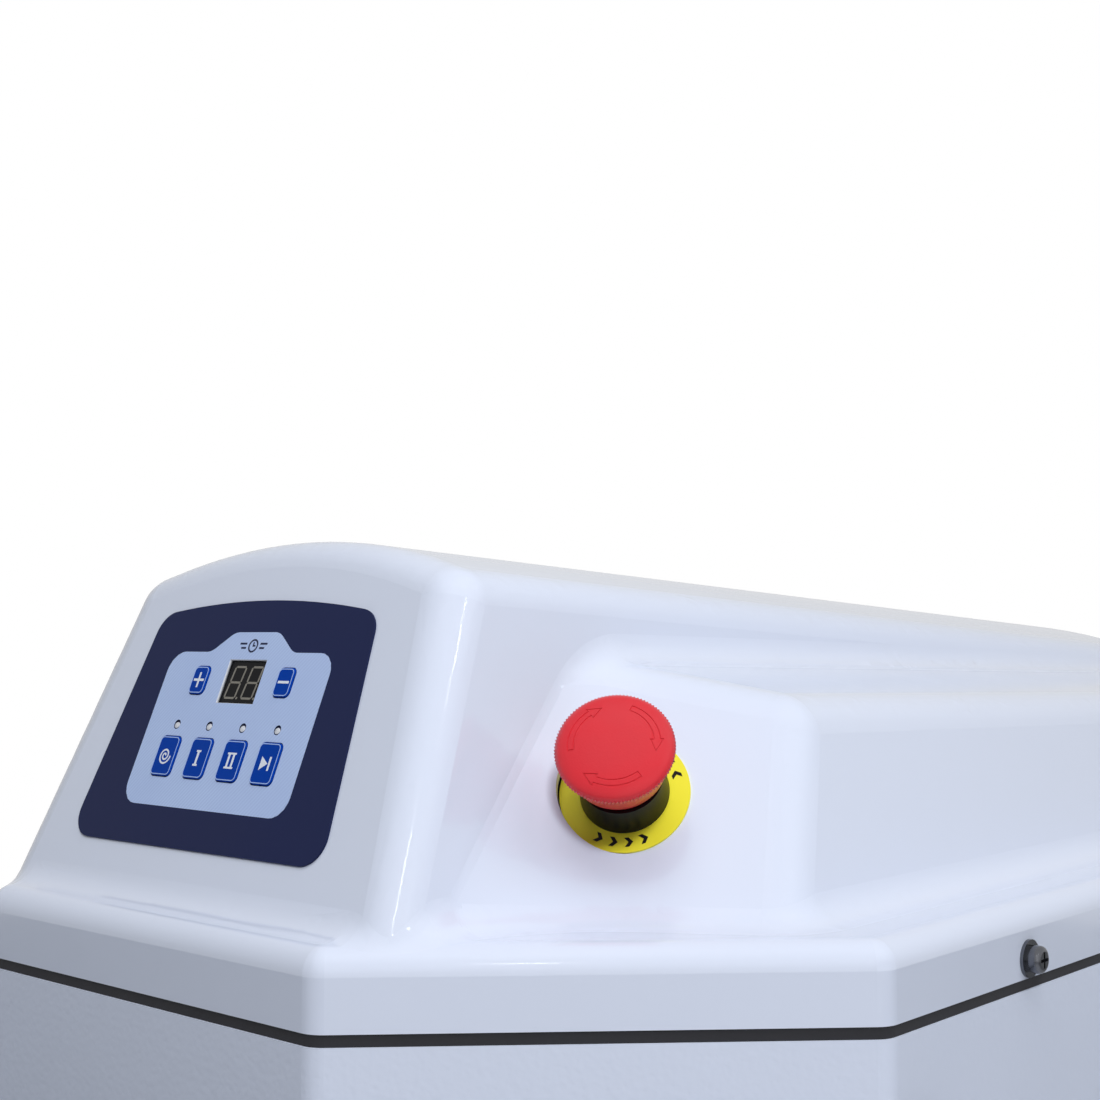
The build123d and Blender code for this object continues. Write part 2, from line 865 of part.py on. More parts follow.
# Spiral drive
def bearing_pair(y, z_low, z_high, bore, race, width):
    lower = ring(0, y, z_low, z_low + width, race, bore)
    return group([lower, ring(0, y, z_high - width, z_high, race, bore)])


def make_spiral_bearing_housing():
    low = head_bottom - housing_drop
    body = rod(0, spiral_y, low, housing_top, housing_radius)
    body += rod(0, spiral_y, plate_top, plate_top + housing_flange, housing_flange_radius)
    body -= rod(0, spiral_y, low, housing_top, spiral_race)
    for x, y in polar(spiral_y, housing_bolt_circle, housing_bolt_count):
        body -= rod(x, y, plate_top, plate_top + housing_flange, bolt_radius + bolt_gap)
    return body


def make_spiral_bearings():
    low = head_bottom - housing_drop + seal_ring
    bore = spiral_shaft_radius + run_gap
    return bearing_pair(spiral_y, low, housing_top, bore, spiral_race, spiral_race_width)


def make_spiral_seal():
    low = head_bottom - housing_drop
    return ring(0, spiral_y, low, low + seal_ring, spiral_race, spiral_shaft_radius + run_gap)


def make_spiral_shaft():
    low = hook_flange_z + hook_flange
    top = spiral_pulley_z + pulley_width(spiral_belt_count) + pulley_end
    shaft = rod(0, spiral_y, low, top, spiral_shaft_radius)
    shaft += rod(0, spiral_y, low, low + shaft_flange, shaft_flange_radius)
    for x, y in polar(spiral_y, hook_bolt_circle, hook_bolt_count):
        shaft -= rod(x, y, low, low + shaft_flange, bolt_radius + bolt_gap)
    return shaft


def make_hook_bolts():
    seat = hook_flange_z + hook_flange + shaft_flange
    return group([hex_bolt(x, y, seat) for x, y in polar(spiral_y, hook_bolt_circle, hook_bolt_count)])


# Centre line of the spiral, from its flange (share 0) down to its tip (share 1)
def hook_point(share):
    radius = hook_path_radius
    if share < hook_open_share:
        ease = sin(share / hook_open_share * pi / 2)
        radius = hook_start_radius + (hook_path_radius - hook_start_radius) * ease
    if share > hook_close_share:
        ease = (1 - cos((share - hook_close_share) / (1 - hook_close_share) * pi)) / 2
        radius = hook_path_radius + (hook_end_radius - hook_path_radius) * ease
    top = hook_flange_z + hook_flange / 2
    tip = bowl_floor + hook_floor_gap + hook_bar
    turn = 2 * pi * hook_turns * share
    return Vector(radius * cos(turn), spiral_y + radius * sin(turn), top + (tip - top) * share)


def hook_heading(share):
    step = 0.001
    ahead = hook_point(min(share + step, 1))
    return (ahead - hook_point(max(share - step, 0))).normalized()


# Two arcs that leave start along its heading and reach end along the other heading
def biarc(start, heading, end, last_heading):
    gap = end - start
    total = heading + last_heading
    a = 2 * (heading.dot(last_heading) - 1)
    b = 2 * gap.dot(total) * -1
    c = gap.dot(gap)
    reach = (-b - sqrt(b * b - 4 * a * c)) / (2 * a)
    joint = (start + heading * reach + end - last_heading * reach) / 2
    middle = (end - last_heading * reach - start - heading * reach).normalized()
    return [TangentArc(start, joint, tangent=heading), TangentArc(joint, end, tangent=middle)]


def make_spiral_hook():
    spans = round(4 * hook_turns)
    shares = [k / spans for k in range(spans + 1)]
    arcs = []
    for first, last in zip(shares[:-1], shares[1:]):
        arcs += biarc(hook_point(first), hook_heading(first), hook_point(last), hook_heading(last))
    path = Wire(arcs)
    section = Plane(origin=hook_point(0), z_dir=hook_heading(0)) * Circle(hook_bar)
    hook = sweep(section, path=path)
    hook += Pos(*hook_point(1)) * Sphere(hook_bar)
    hook = trim(hook, (0, spiral_y, hook_flange_z + hook_flange / 2), (0, 0, 1), 0)
    hook += rod(0, spiral_y, hook_flange_z, hook_flange_z + hook_flange, hook_flange_radius)
    for x, y in polar(spiral_y, hook_bolt_circle, hook_bolt_count):
        seat = hook_flange_z + hook_flange
        hook -= rod(x, y, seat + shaft_flange - bolt_length, seat, bolt_radius + bolt_gap)
    return hook


def pulley_width(count):
    return count * groove_pitch + 2 * groove_land - (groove_pitch - groove_width)


def groove_centre(z, index):
    return z + groove_land + groove_width / 2 + index * groove_pitch


def make_pulley(y, z, pitch_radius, hub, bore, count):
    outer = pitch_radius + pitch_rise
    width = pulley_width(count)
    body = rod(0, y, z, z + width, outer)
    for index in range(count):
        middle = groove_centre(z, index)
        low = middle - groove_width / 2
        body -= ring(0, y, low, low + groove_width, outer, outer - groove_depth)
    rim = outer - groove_depth - pulley_rim
    if rim > hub and width > pulley_web:
        recess = (width - pulley_web) / 2
        body -= ring(0, y, z, z + recess, rim, hub)
        body -= ring(0, y, z + width - recess, z + width, rim, hub)
    return body - rod(0, y, z, z + width, bore)


# Closed loop round two pulleys that stand one behind the other
def belt_face(y1, radius1, y2, radius2):
    first = Pos(0, y1) * Circle(radius1)
    second = Pos(0, y2) * Circle(radius2)
    return make_hull(first.edges() + second.edges())


def make_belts(y1, pitch1, y2, pitch2, z, count):
    seat = pitch_rise - groove_depth + belt_gap
    half = groove_width / 2 - belt_gap
    belts = []
    for index in range(count):
        middle = groove_centre(z, index)
        outer = belt_face(y1, pitch1 + seat + belt_wall, y2, pitch2 + seat + belt_wall)
        inner = belt_face(y1, pitch1 + seat, y2, pitch2 + seat)
        belt = prism(outer, middle - half, middle + half)
        belts.append(belt - prism(inner, middle - half, middle + half))
    return group(belts)


def make_spiral_motor():
    top = plate_z
    low = top - motor_length
    body = rod(0, motor_y, low, top, motor_radius)
    body = fillet(body.edges().group_by(Axis.Z)[0], motor_fin_end / 2)
    body += rod(0, motor_y, top - motor_flange, top, motor_flange_radius)
    reach = motor_radius + motor_fin
    fin = block(motor_radius - motor_fin, reach, -motor_fin_wall / 2, motor_fin_wall / 2,
                low + motor_fin_end, top - motor_fin_end)
    for index in range(motor_fin_count):
        body += Pos(0, motor_y, 0) * Rot(0, 0, index * 360 / motor_fin_count) * fin
    body -= rod(0, motor_y, low + motor_shaft_end - pulley_lift, top, motor_shaft_radius + run_gap)
    for x, y in polar(motor_y, motor_bolt_circle, housing_bolt_count):
        body -= rod(x, y, plate_top - bolt_length, top, bolt_radius + bolt_gap)
    return body


def make_motor_shaft():
    low = plate_z - motor_length + motor_shaft_end
    return rod(0, motor_y, low, spiral_pulley_z + pulley_width(spiral_belt_count), motor_shaft_radius)


def make_breaker_bar():
    low = bowl_floor + bar_floor_gap
    bar = rod(0, bar_y, low, plate_z, bar_radius)
    bar = fillet(bar.edges().group_by(Axis.Z)[0], bar_radius / 2)
    return bar + rod(0, bar_y, plate_z, plate_z + bar_stud, bar_stud_radius)


def make_breaker_bar_nut():
    nut = hexagon(0, bar_y, plate_top, plate_top + bar_nut_height, 2 * bar_stud_radius)
    return nut - rod(0, bar_y, plate_top, plate_top + bar_nut_height, bar_stud_radius)


# Bowl and its drive
def cup(radius, corner, z0, z1):
    body = rod(0, bowl_y, z0, z1, radius)
    return fillet(body.edges().group_by(Axis.Z)[0], corner)


def make_bowl():
    body = cup(bowl_radius, bowl_corner, bowl_bottom, bowl_rim - bowl_bead)
    bead = Pos(0, bowl_y, bowl_rim - bowl_bead) * Torus(bowl_radius + bowl_bead - bead_seat, bowl_bead)
    body += bead
    body -= cup(bowl_radius - bowl_wall, bowl_corner - bowl_wall, bowl_floor, bowl_rim)
    for x, y in polar(bowl_y, bowl_bolt_circle, bowl_bolt_count):
        body -= rod(x, y, bowl_bottom, bowl_floor, bowl_bolt_radius + bowl_bolt_gap)
    return body


def make_bowl_bolts():
    bolts = []
    for x, y in polar(bowl_y, bowl_bolt_circle, bowl_bolt_count):
        head = rod(x, y, bowl_floor, bowl_floor + bowl_bolt_head, bowl_bolt_head_radius)
        head = fillet(head.edges().group_by(Axis.Z)[-1], bowl_bolt_head / 2)
        shank = rod(x, y, bowl_floor - bowl_bolt_length, bowl_floor, bowl_bolt_radius)
        top = bowl_floor + bowl_bolt_head
        socket = hexagon(x, y, top - bowl_bolt_socket, top, bowl_bolt_radius / 2)
        bolts.append(head + shank - socket)
    return group(bolts)


def make_bowl_shaft():
    hub = rod(0, bowl_y, bowl_bottom - hub_height, bowl_bottom, hub_radius)
    hub += rod(0, bowl_y, bowl_pulley_z - pulley_end, bowl_bottom, bowl_shaft_radius)
    for x, y in polar(bowl_y, bowl_bolt_circle, bowl_bolt_count):
        hub -= rod(x, y, bowl_floor - bowl_bolt_length, bowl_bottom, bowl_bolt_radius + bowl_bolt_gap)
    return hub


def make_bowl_bearing_housing():
    body = rod(0, bowl_y, bridge_top, bowl_housing_top, bowl_race + housing_wall)
    body += rod(0, bowl_y, bridge_top, bridge_top + housing_flange, housing_flange_radius)
    body -= rod(0, bowl_y, bridge_top, bowl_housing_top, bowl_race)
    for x, y in polar(bowl_y, housing_bolt_circle, housing_bolt_count):
        body -= rod(x, y, bridge_top, bridge_top + housing_flange, bolt_radius + bolt_gap)
    return body


def make_bowl_bearings():
    bore = bowl_shaft_radius + run_gap
    return bearing_pair(bowl_y, bridge_top, bowl_housing_top, bore, bowl_race, bowl_race_width)


def make_bowl_gearmotor():
    top = bridge_top + gearbox_height
    body = block(-gearbox_half, gearbox_half, gear_y - gearbox_half, gear_y + gearbox_half, bridge_top, top)
    body = fillet(body.edges().filter_by(Axis.Z), gearbox_half / 6)
    motor = rod(0, gear_y, top, top + gear_motor_height, gear_motor_radius)
    body += fillet(motor.edges().group_by(Axis.Z)[-1], gear_motor_radius / 5)
    grip = bridge_top + gear_shaft_grip + pulley_lift
    return body - rod(0, gear_y, bridge_top, grip, gear_shaft_radius + run_gap)


def make_gearmotor_shaft():
    return rod(0, gear_y, bowl_pulley_z - pulley_end, bridge_top + gear_shaft_grip, gear_shaft_radius)


# Control panel on the sloped face: x across, s up the slope, depth along the outward normal
def panel_slab(face, low, high):
    return extrude(panel_plane.offset(low) * face, amount=high - low)


def key_places():
    row = [panel_x + (k - 1.5) * key_pitch for k in range(4)]
    names = ("key_stir", "key_speed_one", "key_speed_two", "key_jog")
    places = {name: (x, key_row, key_width, key_height) for name, x in zip(names, row)}
    places["key_plus"] = (panel_x - side_key_x, display_row, side_key_width, side_key_height)
    places["key_minus"] = (panel_x + side_key_x, display_row, side_key_width, side_key_height)
    return places


def light_places():
    return [(panel_x + (k - 1.5) * key_pitch, light_row) for k in range(4)]


def key_face(place, grow):
    x, s, width, height = place
    return Pos(x, s) * RectangleRounded(width + 2 * grow, height + 2 * grow, key_radius + grow)


def make_key(place):
    key = panel_slab(key_face(place, 0), -key_depth, overlay_wall + key_rise)
    top = key.faces().sort_by(Axis(panel_plane.origin, panel_plane.z_dir))[-1]
    return fillet(top.edges(), key_edge)


def display_face(grow):
    return Pos(panel_x, display_row) * Rectangle(display_width + 2 * grow, display_height + 2 * grow)


def make_control_overlay():
    points = [
        (panel_x - overlay_high_half, overlay_high),
        (panel_x - overlay_low_half, overlay_low),
        (panel_x + overlay_low_half, overlay_low),
        (panel_x + overlay_high_half, overlay_high),
    ]
    arch = ThreePointArc(points[3], (panel_x, overlay_high + overlay_arch), points[0])
    face = make_face(Polyline(*points).edges() + arch.edges())
    face = fillet(face.vertices(), overlay_radius)
    for place in key_places().values():
        face -= key_face(place, key_gap)
    for x, s in light_places():
        face -= Pos(x, s) * Circle(light_radius + key_gap)
    face -= display_face(0)
    return panel_slab(face, 0, overlay_wall)


def make_control_board():
    top = -cover_wall - board_gap
    middle = (board_low + board_high) / 2
    face = Pos(panel_x, middle) * Rectangle(2 * board_half, board_high - board_low)
    board = panel_slab(face, top - board_wall, top)
    for x in (panel_x - board_half + board_post_inset, panel_x + board_half - board_post_inset):
        for s in (board_low + board_post_inset, board_high - board_post_inset):
            board += panel_slab(Pos(x, s) * Circle(board_post_radius), top, -cover_wall)
    for x, s, width, height in key_places().values():
        switch = Pos(x, s) * Rectangle(switch_size, switch_size)
        board += panel_slab(switch, top, -key_depth - switch_gap)
    return board


def make_digit_display():
    return panel_slab(display_face(0), -cover_wall - board_gap, overlay_wall)


def make_status_lights():
    low = -cover_wall - board_gap
    high = overlay_wall + light_rise
    return group([panel_slab(Pos(x, s) * Circle(light_radius), low, high) for x, s in light_places()])


# Stop button, drawn along +Z from the cover's surface and set on its pad
def make_stop_legend():
    return pad_plane * ring(0, 0, 0, legend_wall, legend_radius, barrel_radius + barrel_gap)


def taper(z0, z1, low_radius, high_radius):
    return Pos(0, 0, (z0 + z1) / 2) * Cone(low_radius, high_radius, z1 - z0)


def make_stop_collar():
    bore = neck_radius + neck_gap
    body = taper(legend_wall, collar_height, collar_radius, collar_top_radius)
    body -= rod(0, 0, legend_wall + collar_floor, collar_height, bore)
    body += rod(0, 0, -barrel_length, legend_wall + collar_floor, barrel_radius)
    return pad_plane * (body - rod(0, 0, -barrel_length, collar_height, barrel_bore))


def neck_low():
    return legend_wall + collar_floor + stop_travel + stop_spare


def make_stop_button():
    body = rod(0, 0, neck_low(), flare_low, neck_radius)
    body += taper(flare_low, cap_low, neck_radius, flare_radius)
    cap = rod(0, 0, cap_low, cap_high, cap_radius)
    body += fillet(cap.edges(), cap_edge)
    return pad_plane * (body - rod(0, 0, neck_low(), neck_low() + stem_grip, stem_radius + pin_gap))


def make_stop_plunger():
    low = -barrel_length + stop_travel + stop_spare
    piston = rod(0, 0, low, low + piston_length, barrel_bore - run_gap)
    return pad_plane * (piston + rod(0, 0, low, neck_low() + stem_grip - stop_spare, stem_radius))


def make_stop_nut():
    low = -cover_wall - stop_nut_height
    nut = hexagon(0, 0, low, -cover_wall, stop_nut_radius)
    return pad_plane * (nut - rod(0, 0, low, -cover_wall, barrel_radius))


def make_stop_contact_block():
    half = contact_size / 2
    low = -barrel_length - contact_length
    body = block(-half, half, -half, half, low, -barrel_length)
    return pad_plane * fillet(body.edges().filter_by(Axis.Z), contact_size / 14)


# Motor switching on a plate behind the rear uprights
def make_electrical_plate():
    back = rail_rear + electric_wall
    return block(-electric_half, electric_half, rail_rear, back, electric_low, electric_high)


def make_contactors():
    boxes = []
    for index in range(contactor_count):
        x = (index - (contactor_count - 1) / 2) * contactor_pitch
        half = contactor_width / 2
        front = rail_rear - contactor_depth
        body = block(x - half, x + half, front, rail_rear, contactor_low, contactor_low + contactor_height)
        step = contactor_height / 4
        body -= block(x - half, x + half, front, front + step / 2, contactor_low, contactor_low + step)
        top = contactor_low + contactor_height
        body -= block(x - half, x + half, front, front + step / 2, top - step, top)
        boxes.append(body)
    return group(boxes)


# Bowl guard
def make_guard_grille():
    radius = guard_radius
    start = (radius, bowl_y + guard_leg, guard_z)
    end = (-radius, bowl_y + guard_leg, guard_z)
    path = Wire([
        Line(start, (radius, bowl_y, guard_z)),
        ThreePointArc((radius, bowl_y, guard_z), (0, bowl_y - radius, guard_z), (-radius, bowl_y, guard_z)),
        Line((-radius, bowl_y, guard_z), end),
    ])
    grille = sweep(Plane(origin=start, z_dir=(0, -1, 0)) * Circle(guard_rod), path=path)
    chord_y = -guard_front_gap
    diagonal = front_half + guard_front_gap * sqrt(2)
    chord_x = diagonal + chord_y
    side_y = radius - diagonal
    grille += beam((-chord_x, chord_y, guard_z), (chord_x, chord_y, guard_z), guard_back_bar)
    for side in (-1, 1):
        bend = (side * chord_x, chord_y, guard_z)
        grille += beam(bend, (side * radius, side_y, guard_z), guard_back_bar)
        grille += Pos(*bend) * Sphere(guard_back_bar)
    for index in range(-guard_bars, guard_bars + 1):
        x = index * guard_bar_pitch
        back = chord_y if abs(x) < chord_x else abs(x) - diagonal
        front = bowl_y - sqrt(radius ** 2 - x ** 2)
        grille += beam((x, back, guard_z), (x, front, guard_z), guard_bar)
    return grille


def make_guard_arms():
    arms = []
    inner = guard_radius + guard_rod - weld
    foot = Pos(arm_foot_y, guard_z) * Circle(arm_foot_radius)
    hub = Pos(pivot_y, pivot_z) * Circle(arm_hub_radius)
    face = make_hull(foot.edges() + hub.edges())
    face -= Pos(pivot_y, pivot_z) * Circle(pivot_radius + pin_gap)
    for side in (-1, 1):
        low = min(side * inner, side * (inner + arm_wall))
        arms.append(extrude(Plane.YZ.offset(low) * face, amount=arm_wall))
    return group(arms)


def make_guard_pivot_pins():
    pins = []
    outer = guard_radius + guard_rod - weld + arm_wall + pivot_play
    for side in (-1, 1):
        start = (side * (body_half - pivot_inside), pivot_y, pivot_z)
        seat = (side * outer, pivot_y, pivot_z)
        end = (side * (outer + pivot_head), pivot_y, pivot_z)
        pins.append(beam(start, seat, pivot_radius) + beam(seat, end, pivot_head_radius))
    return group(pins)


def make_guard_switch():
    y = pivot_y + switch_back
    x = body_half - shell_wall
    body = block(x - switch_depth, x, y - switch_half_y, y + switch_half_y,
                 pivot_z - switch_half_z, pivot_z + switch_half_z)
    return fillet(body.edges().filter_by(Axis.X), switch_depth / 6)


nodes = {
    "main_frame": make_main_frame(),
    "levelling_feet": make_levelling_feet(),
    "base_shell": make_base_shell(),
    "column_shell": make_column_shell(),
    "head_shell": make_head_shell(),
    "rear_panel": make_rear_panel(),
    "rear_panel_screws": make_rear_panel_screws(),
    "cable_gland": make_cable_gland(),
    "top_cover": make_top_cover(),
    "cover_seal": make_cover_seal(),
    "cover_screws": make_cover_screws(),
    "cover_spring_washers": make_cover_spring_washers(),
    "cover_washers": make_cover_washers(),
    "head_plate": make_head_plate(),
    "frame_bolts": make_frame_bolts(),
    "spiral_bearing_housing": make_spiral_bearing_housing(),
    "spiral_bearings": make_spiral_bearings(),
    "spiral_seal": make_spiral_seal(),
    "spiral_shaft": make_spiral_shaft(),
    "spiral_hook": make_spiral_hook(),
    "hook_bolts": make_hook_bolts(),
    "spiral_pulley": make_pulley(spiral_y, spiral_pulley_z, spiral_pitch_radius, spiral_hub_radius,
                                 spiral_shaft_radius, spiral_belt_count),
    "spiral_motor": make_spiral_motor(),
    "motor_shaft": make_motor_shaft(),
    "motor_pulley": make_pulley(motor_y, spiral_pulley_z, motor_pitch_radius, motor_pitch_radius,
                                motor_shaft_radius, spiral_belt_count),
    "spiral_belts": make_belts(spiral_y, spiral_pitch_radius, motor_y, motor_pitch_radius,
                               spiral_pulley_z, spiral_belt_count),
    "breaker_bar": make_breaker_bar(),
    "breaker_bar_nut": make_breaker_bar_nut(),
    "bowl": make_bowl(),
    "bowl_bolts": make_bowl_bolts(),
    "bowl_shaft": make_bowl_shaft(),
    "bowl_bearing_housing": make_bowl_bearing_housing(),
    "bowl_bearings": make_bowl_bearings(),
    "bowl_pulley": make_pulley(bowl_y, bowl_pulley_z, bowl_pitch_radius, bowl_hub_radius,
                               bowl_shaft_radius, bowl_belt_count),
    "bowl_gearmotor": make_bowl_gearmotor(),
    "gearmotor_shaft": make_gearmotor_shaft(),
    "gearmotor_pulley": make_pulley(gear_y, bowl_pulley_z, gear_pitch_radius, gear_pitch_radius,
                                    gear_shaft_radius, bowl_belt_count),
    "bowl_belt": make_belts(bowl_y, bowl_pitch_radius, gear_y, gear_pitch_radius,
                            bowl_pulley_z, bowl_belt_count),
    "control_overlay": make_control_overlay(),
    "control_board": make_control_board(),
    "digit_display": make_digit_display(),
    "status_lights": make_status_lights(),
    "stop_legend": make_stop_legend(),
    "stop_collar": make_stop_collar(),
    "stop_button": make_stop_button(),
    "stop_plunger": make_stop_plunger(),
    "stop_nut": make_stop_nut(),
    "stop_contact_block": make_stop_contact_block(),
    "electrical_plate": make_electrical_plate(),
    "contactors": make_contactors(),
    "guard_grille": make_guard_grille(),
    "guard_arms": make_guard_arms(),
    "guard_pivot_pins": make_guard_pivot_pins(),
    "guard_switch": make_guard_switch(),
}
for key_name, key_place in key_places().items():
    nodes[key_name] = make_key(key_place)

# The origin of the finished part is the middle of its footprint, on the floor
os.makedirs("parts", exist_ok=True)
for name, shape in nodes.items():
    export_step(Pos(0, -origin_y, 0) * shape, f"parts/{name}.step")
print(f"{len(nodes)} pieces, origin {origin_y:.3f} mm behind the head's front face")
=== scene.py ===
"""Looks of a spiral dough mixer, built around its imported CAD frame."""

import json
import logging
import math
from dataclasses import dataclass
from enum import Enum
from functools import partial

import bpy
from mathutils import Matrix, Vector


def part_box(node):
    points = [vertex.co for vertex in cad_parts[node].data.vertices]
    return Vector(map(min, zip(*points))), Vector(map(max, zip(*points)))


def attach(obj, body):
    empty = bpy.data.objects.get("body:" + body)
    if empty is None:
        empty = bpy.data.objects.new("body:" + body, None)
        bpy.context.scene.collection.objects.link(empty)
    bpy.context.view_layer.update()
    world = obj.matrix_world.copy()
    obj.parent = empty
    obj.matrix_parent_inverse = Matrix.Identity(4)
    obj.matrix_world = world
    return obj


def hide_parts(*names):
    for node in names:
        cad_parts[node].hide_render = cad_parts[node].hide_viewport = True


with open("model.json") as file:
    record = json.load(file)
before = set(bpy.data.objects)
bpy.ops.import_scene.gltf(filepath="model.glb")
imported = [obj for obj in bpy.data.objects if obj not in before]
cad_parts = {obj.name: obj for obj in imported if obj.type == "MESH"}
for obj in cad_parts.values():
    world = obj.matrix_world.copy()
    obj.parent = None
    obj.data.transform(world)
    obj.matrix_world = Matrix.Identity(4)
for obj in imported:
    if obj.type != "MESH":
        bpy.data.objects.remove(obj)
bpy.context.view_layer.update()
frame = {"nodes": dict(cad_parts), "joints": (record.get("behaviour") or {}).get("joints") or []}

LOG = logging.getLogger("dough_mixer")
MM = 0.001
KEYS = ("key_plus", "key_minus", "key_stir", "key_speed_one", "key_speed_two", "key_jog")
LEAST_ROUGHNESS = 0.02
COAT_ROUGHNESS = 0.05
MERGE_DISTANCE = 0.01 * MM
# Most of a side that one rounded corner may take
CORNER_SHARE = 0.48
# Numbers of the colour sockets of Blender's Mix node
MIX_FIRST = 6
MIX_SECOND = 7
MIX_RESULT = 2

Point = tuple[float, float]
Loop = list[Point]
Triple = tuple[float, float, float]
Colour = Triple
Piece = bpy.types.Object
Tree = bpy.types.NodeTree
Socket = bpy.types.NodeSocket
Sockets = bpy.types.bpy_prop_collection


def srgb(red: int, green: int, blue: int) -> Colour:
    """Turns a colour as seen on screen, 0 to 255, into the linear one that shaders use.

    Args:
        red: Red.
        green: Green.
        blue: Blue.

    Returns:
        The linear colour, 0 to 1.
    """
    shares = [value / 255 for value in (red, green, blue)]
    linear = [s / 12.92 if s <= 0.04045 else ((s + 0.055) / 1.055) ** 2.4 for s in shares]
    return (linear[0], linear[1], linear[2])


DUST = srgb(150, 144, 132)


class Texture(Enum):
    """How the skin of a finish is worked."""

    MOULDED = "moulded"
    POWDER = "powder"
    BRUSHED = "brushed"
    TURNED = "turned"
    CAST = "cast"
    STRIPED = "striped"


@dataclass(frozen=True)
class Finish:
    """One surface finish.

    Attributes:
        name: Name of the material.
        colour: Linear base colour.
        roughness: Mean roughness.
        texture: How the skin is worked.
        grain: Fine features per metre.
        relief: Depth of the fine features in metres.
        mottle: Share by which the colour swings over the surface.
        swing: How far the roughness swings over the surface.
        patch: Broad features per metre.
        metallic: 1 for bare metal.
        coat: Weight of a clear glossy coat.
        specular: Strength of the surface's own reflection.
        centre: Middle of the pattern in the part's frame.
        turn: Turn of the pattern about X, Y and Z in degrees.
        stretch: How much longer the pattern is along its own X, Y and Z.
        soil: Weight of the dust that gathers near the floor.
    """

    name: str
    colour: Colour
    roughness: float
    texture: Texture = Texture.MOULDED
    grain: float = 900.0
    relief: float = 0.00002
    mottle: float = 0.04
    swing: float = 0.08
    patch: float = 9.0
    metallic: float = 0.0
    coat: float = 0.0
    specular: float = 0.5
    centre: Triple = (0.0, 0.0, 0.0)
    turn: Triple = (0.0, 0.0, 0.0)
    stretch: Triple = (1.0, 1.0, 1.0)
    soil: float = 0.0


def feed(tree: Tree, node: bpy.types.Node, values: dict) -> None:
    """Sets a node's inputs, by name or number, and links those whose value is a socket.

    Args:
        tree: The nodes that it is one of.
        node: The node.
        values: Values or sockets.
    """
    for name, value in values.items():
        if isinstance(value, Socket):
            tree.links.new(value, node.inputs[name])
        else:
            node.inputs[name].default_value = value


def add(tree: Tree, kind: str, values: dict | None = None, **settings: object) -> Sockets:
    """Adds a shader node.

    Args:
        tree: The nodes that it joins.
        kind: Its type, without Blender's prefix.
        values: Values or sockets for its inputs.
        settings: Its own settings.

    Returns:
        Its outputs.
    """
    node = tree.nodes.new("ShaderNode" + kind)
    for name, setting in settings.items():
        setattr(node, name, setting)
    feed(tree, node, values or {})
    return node.outputs


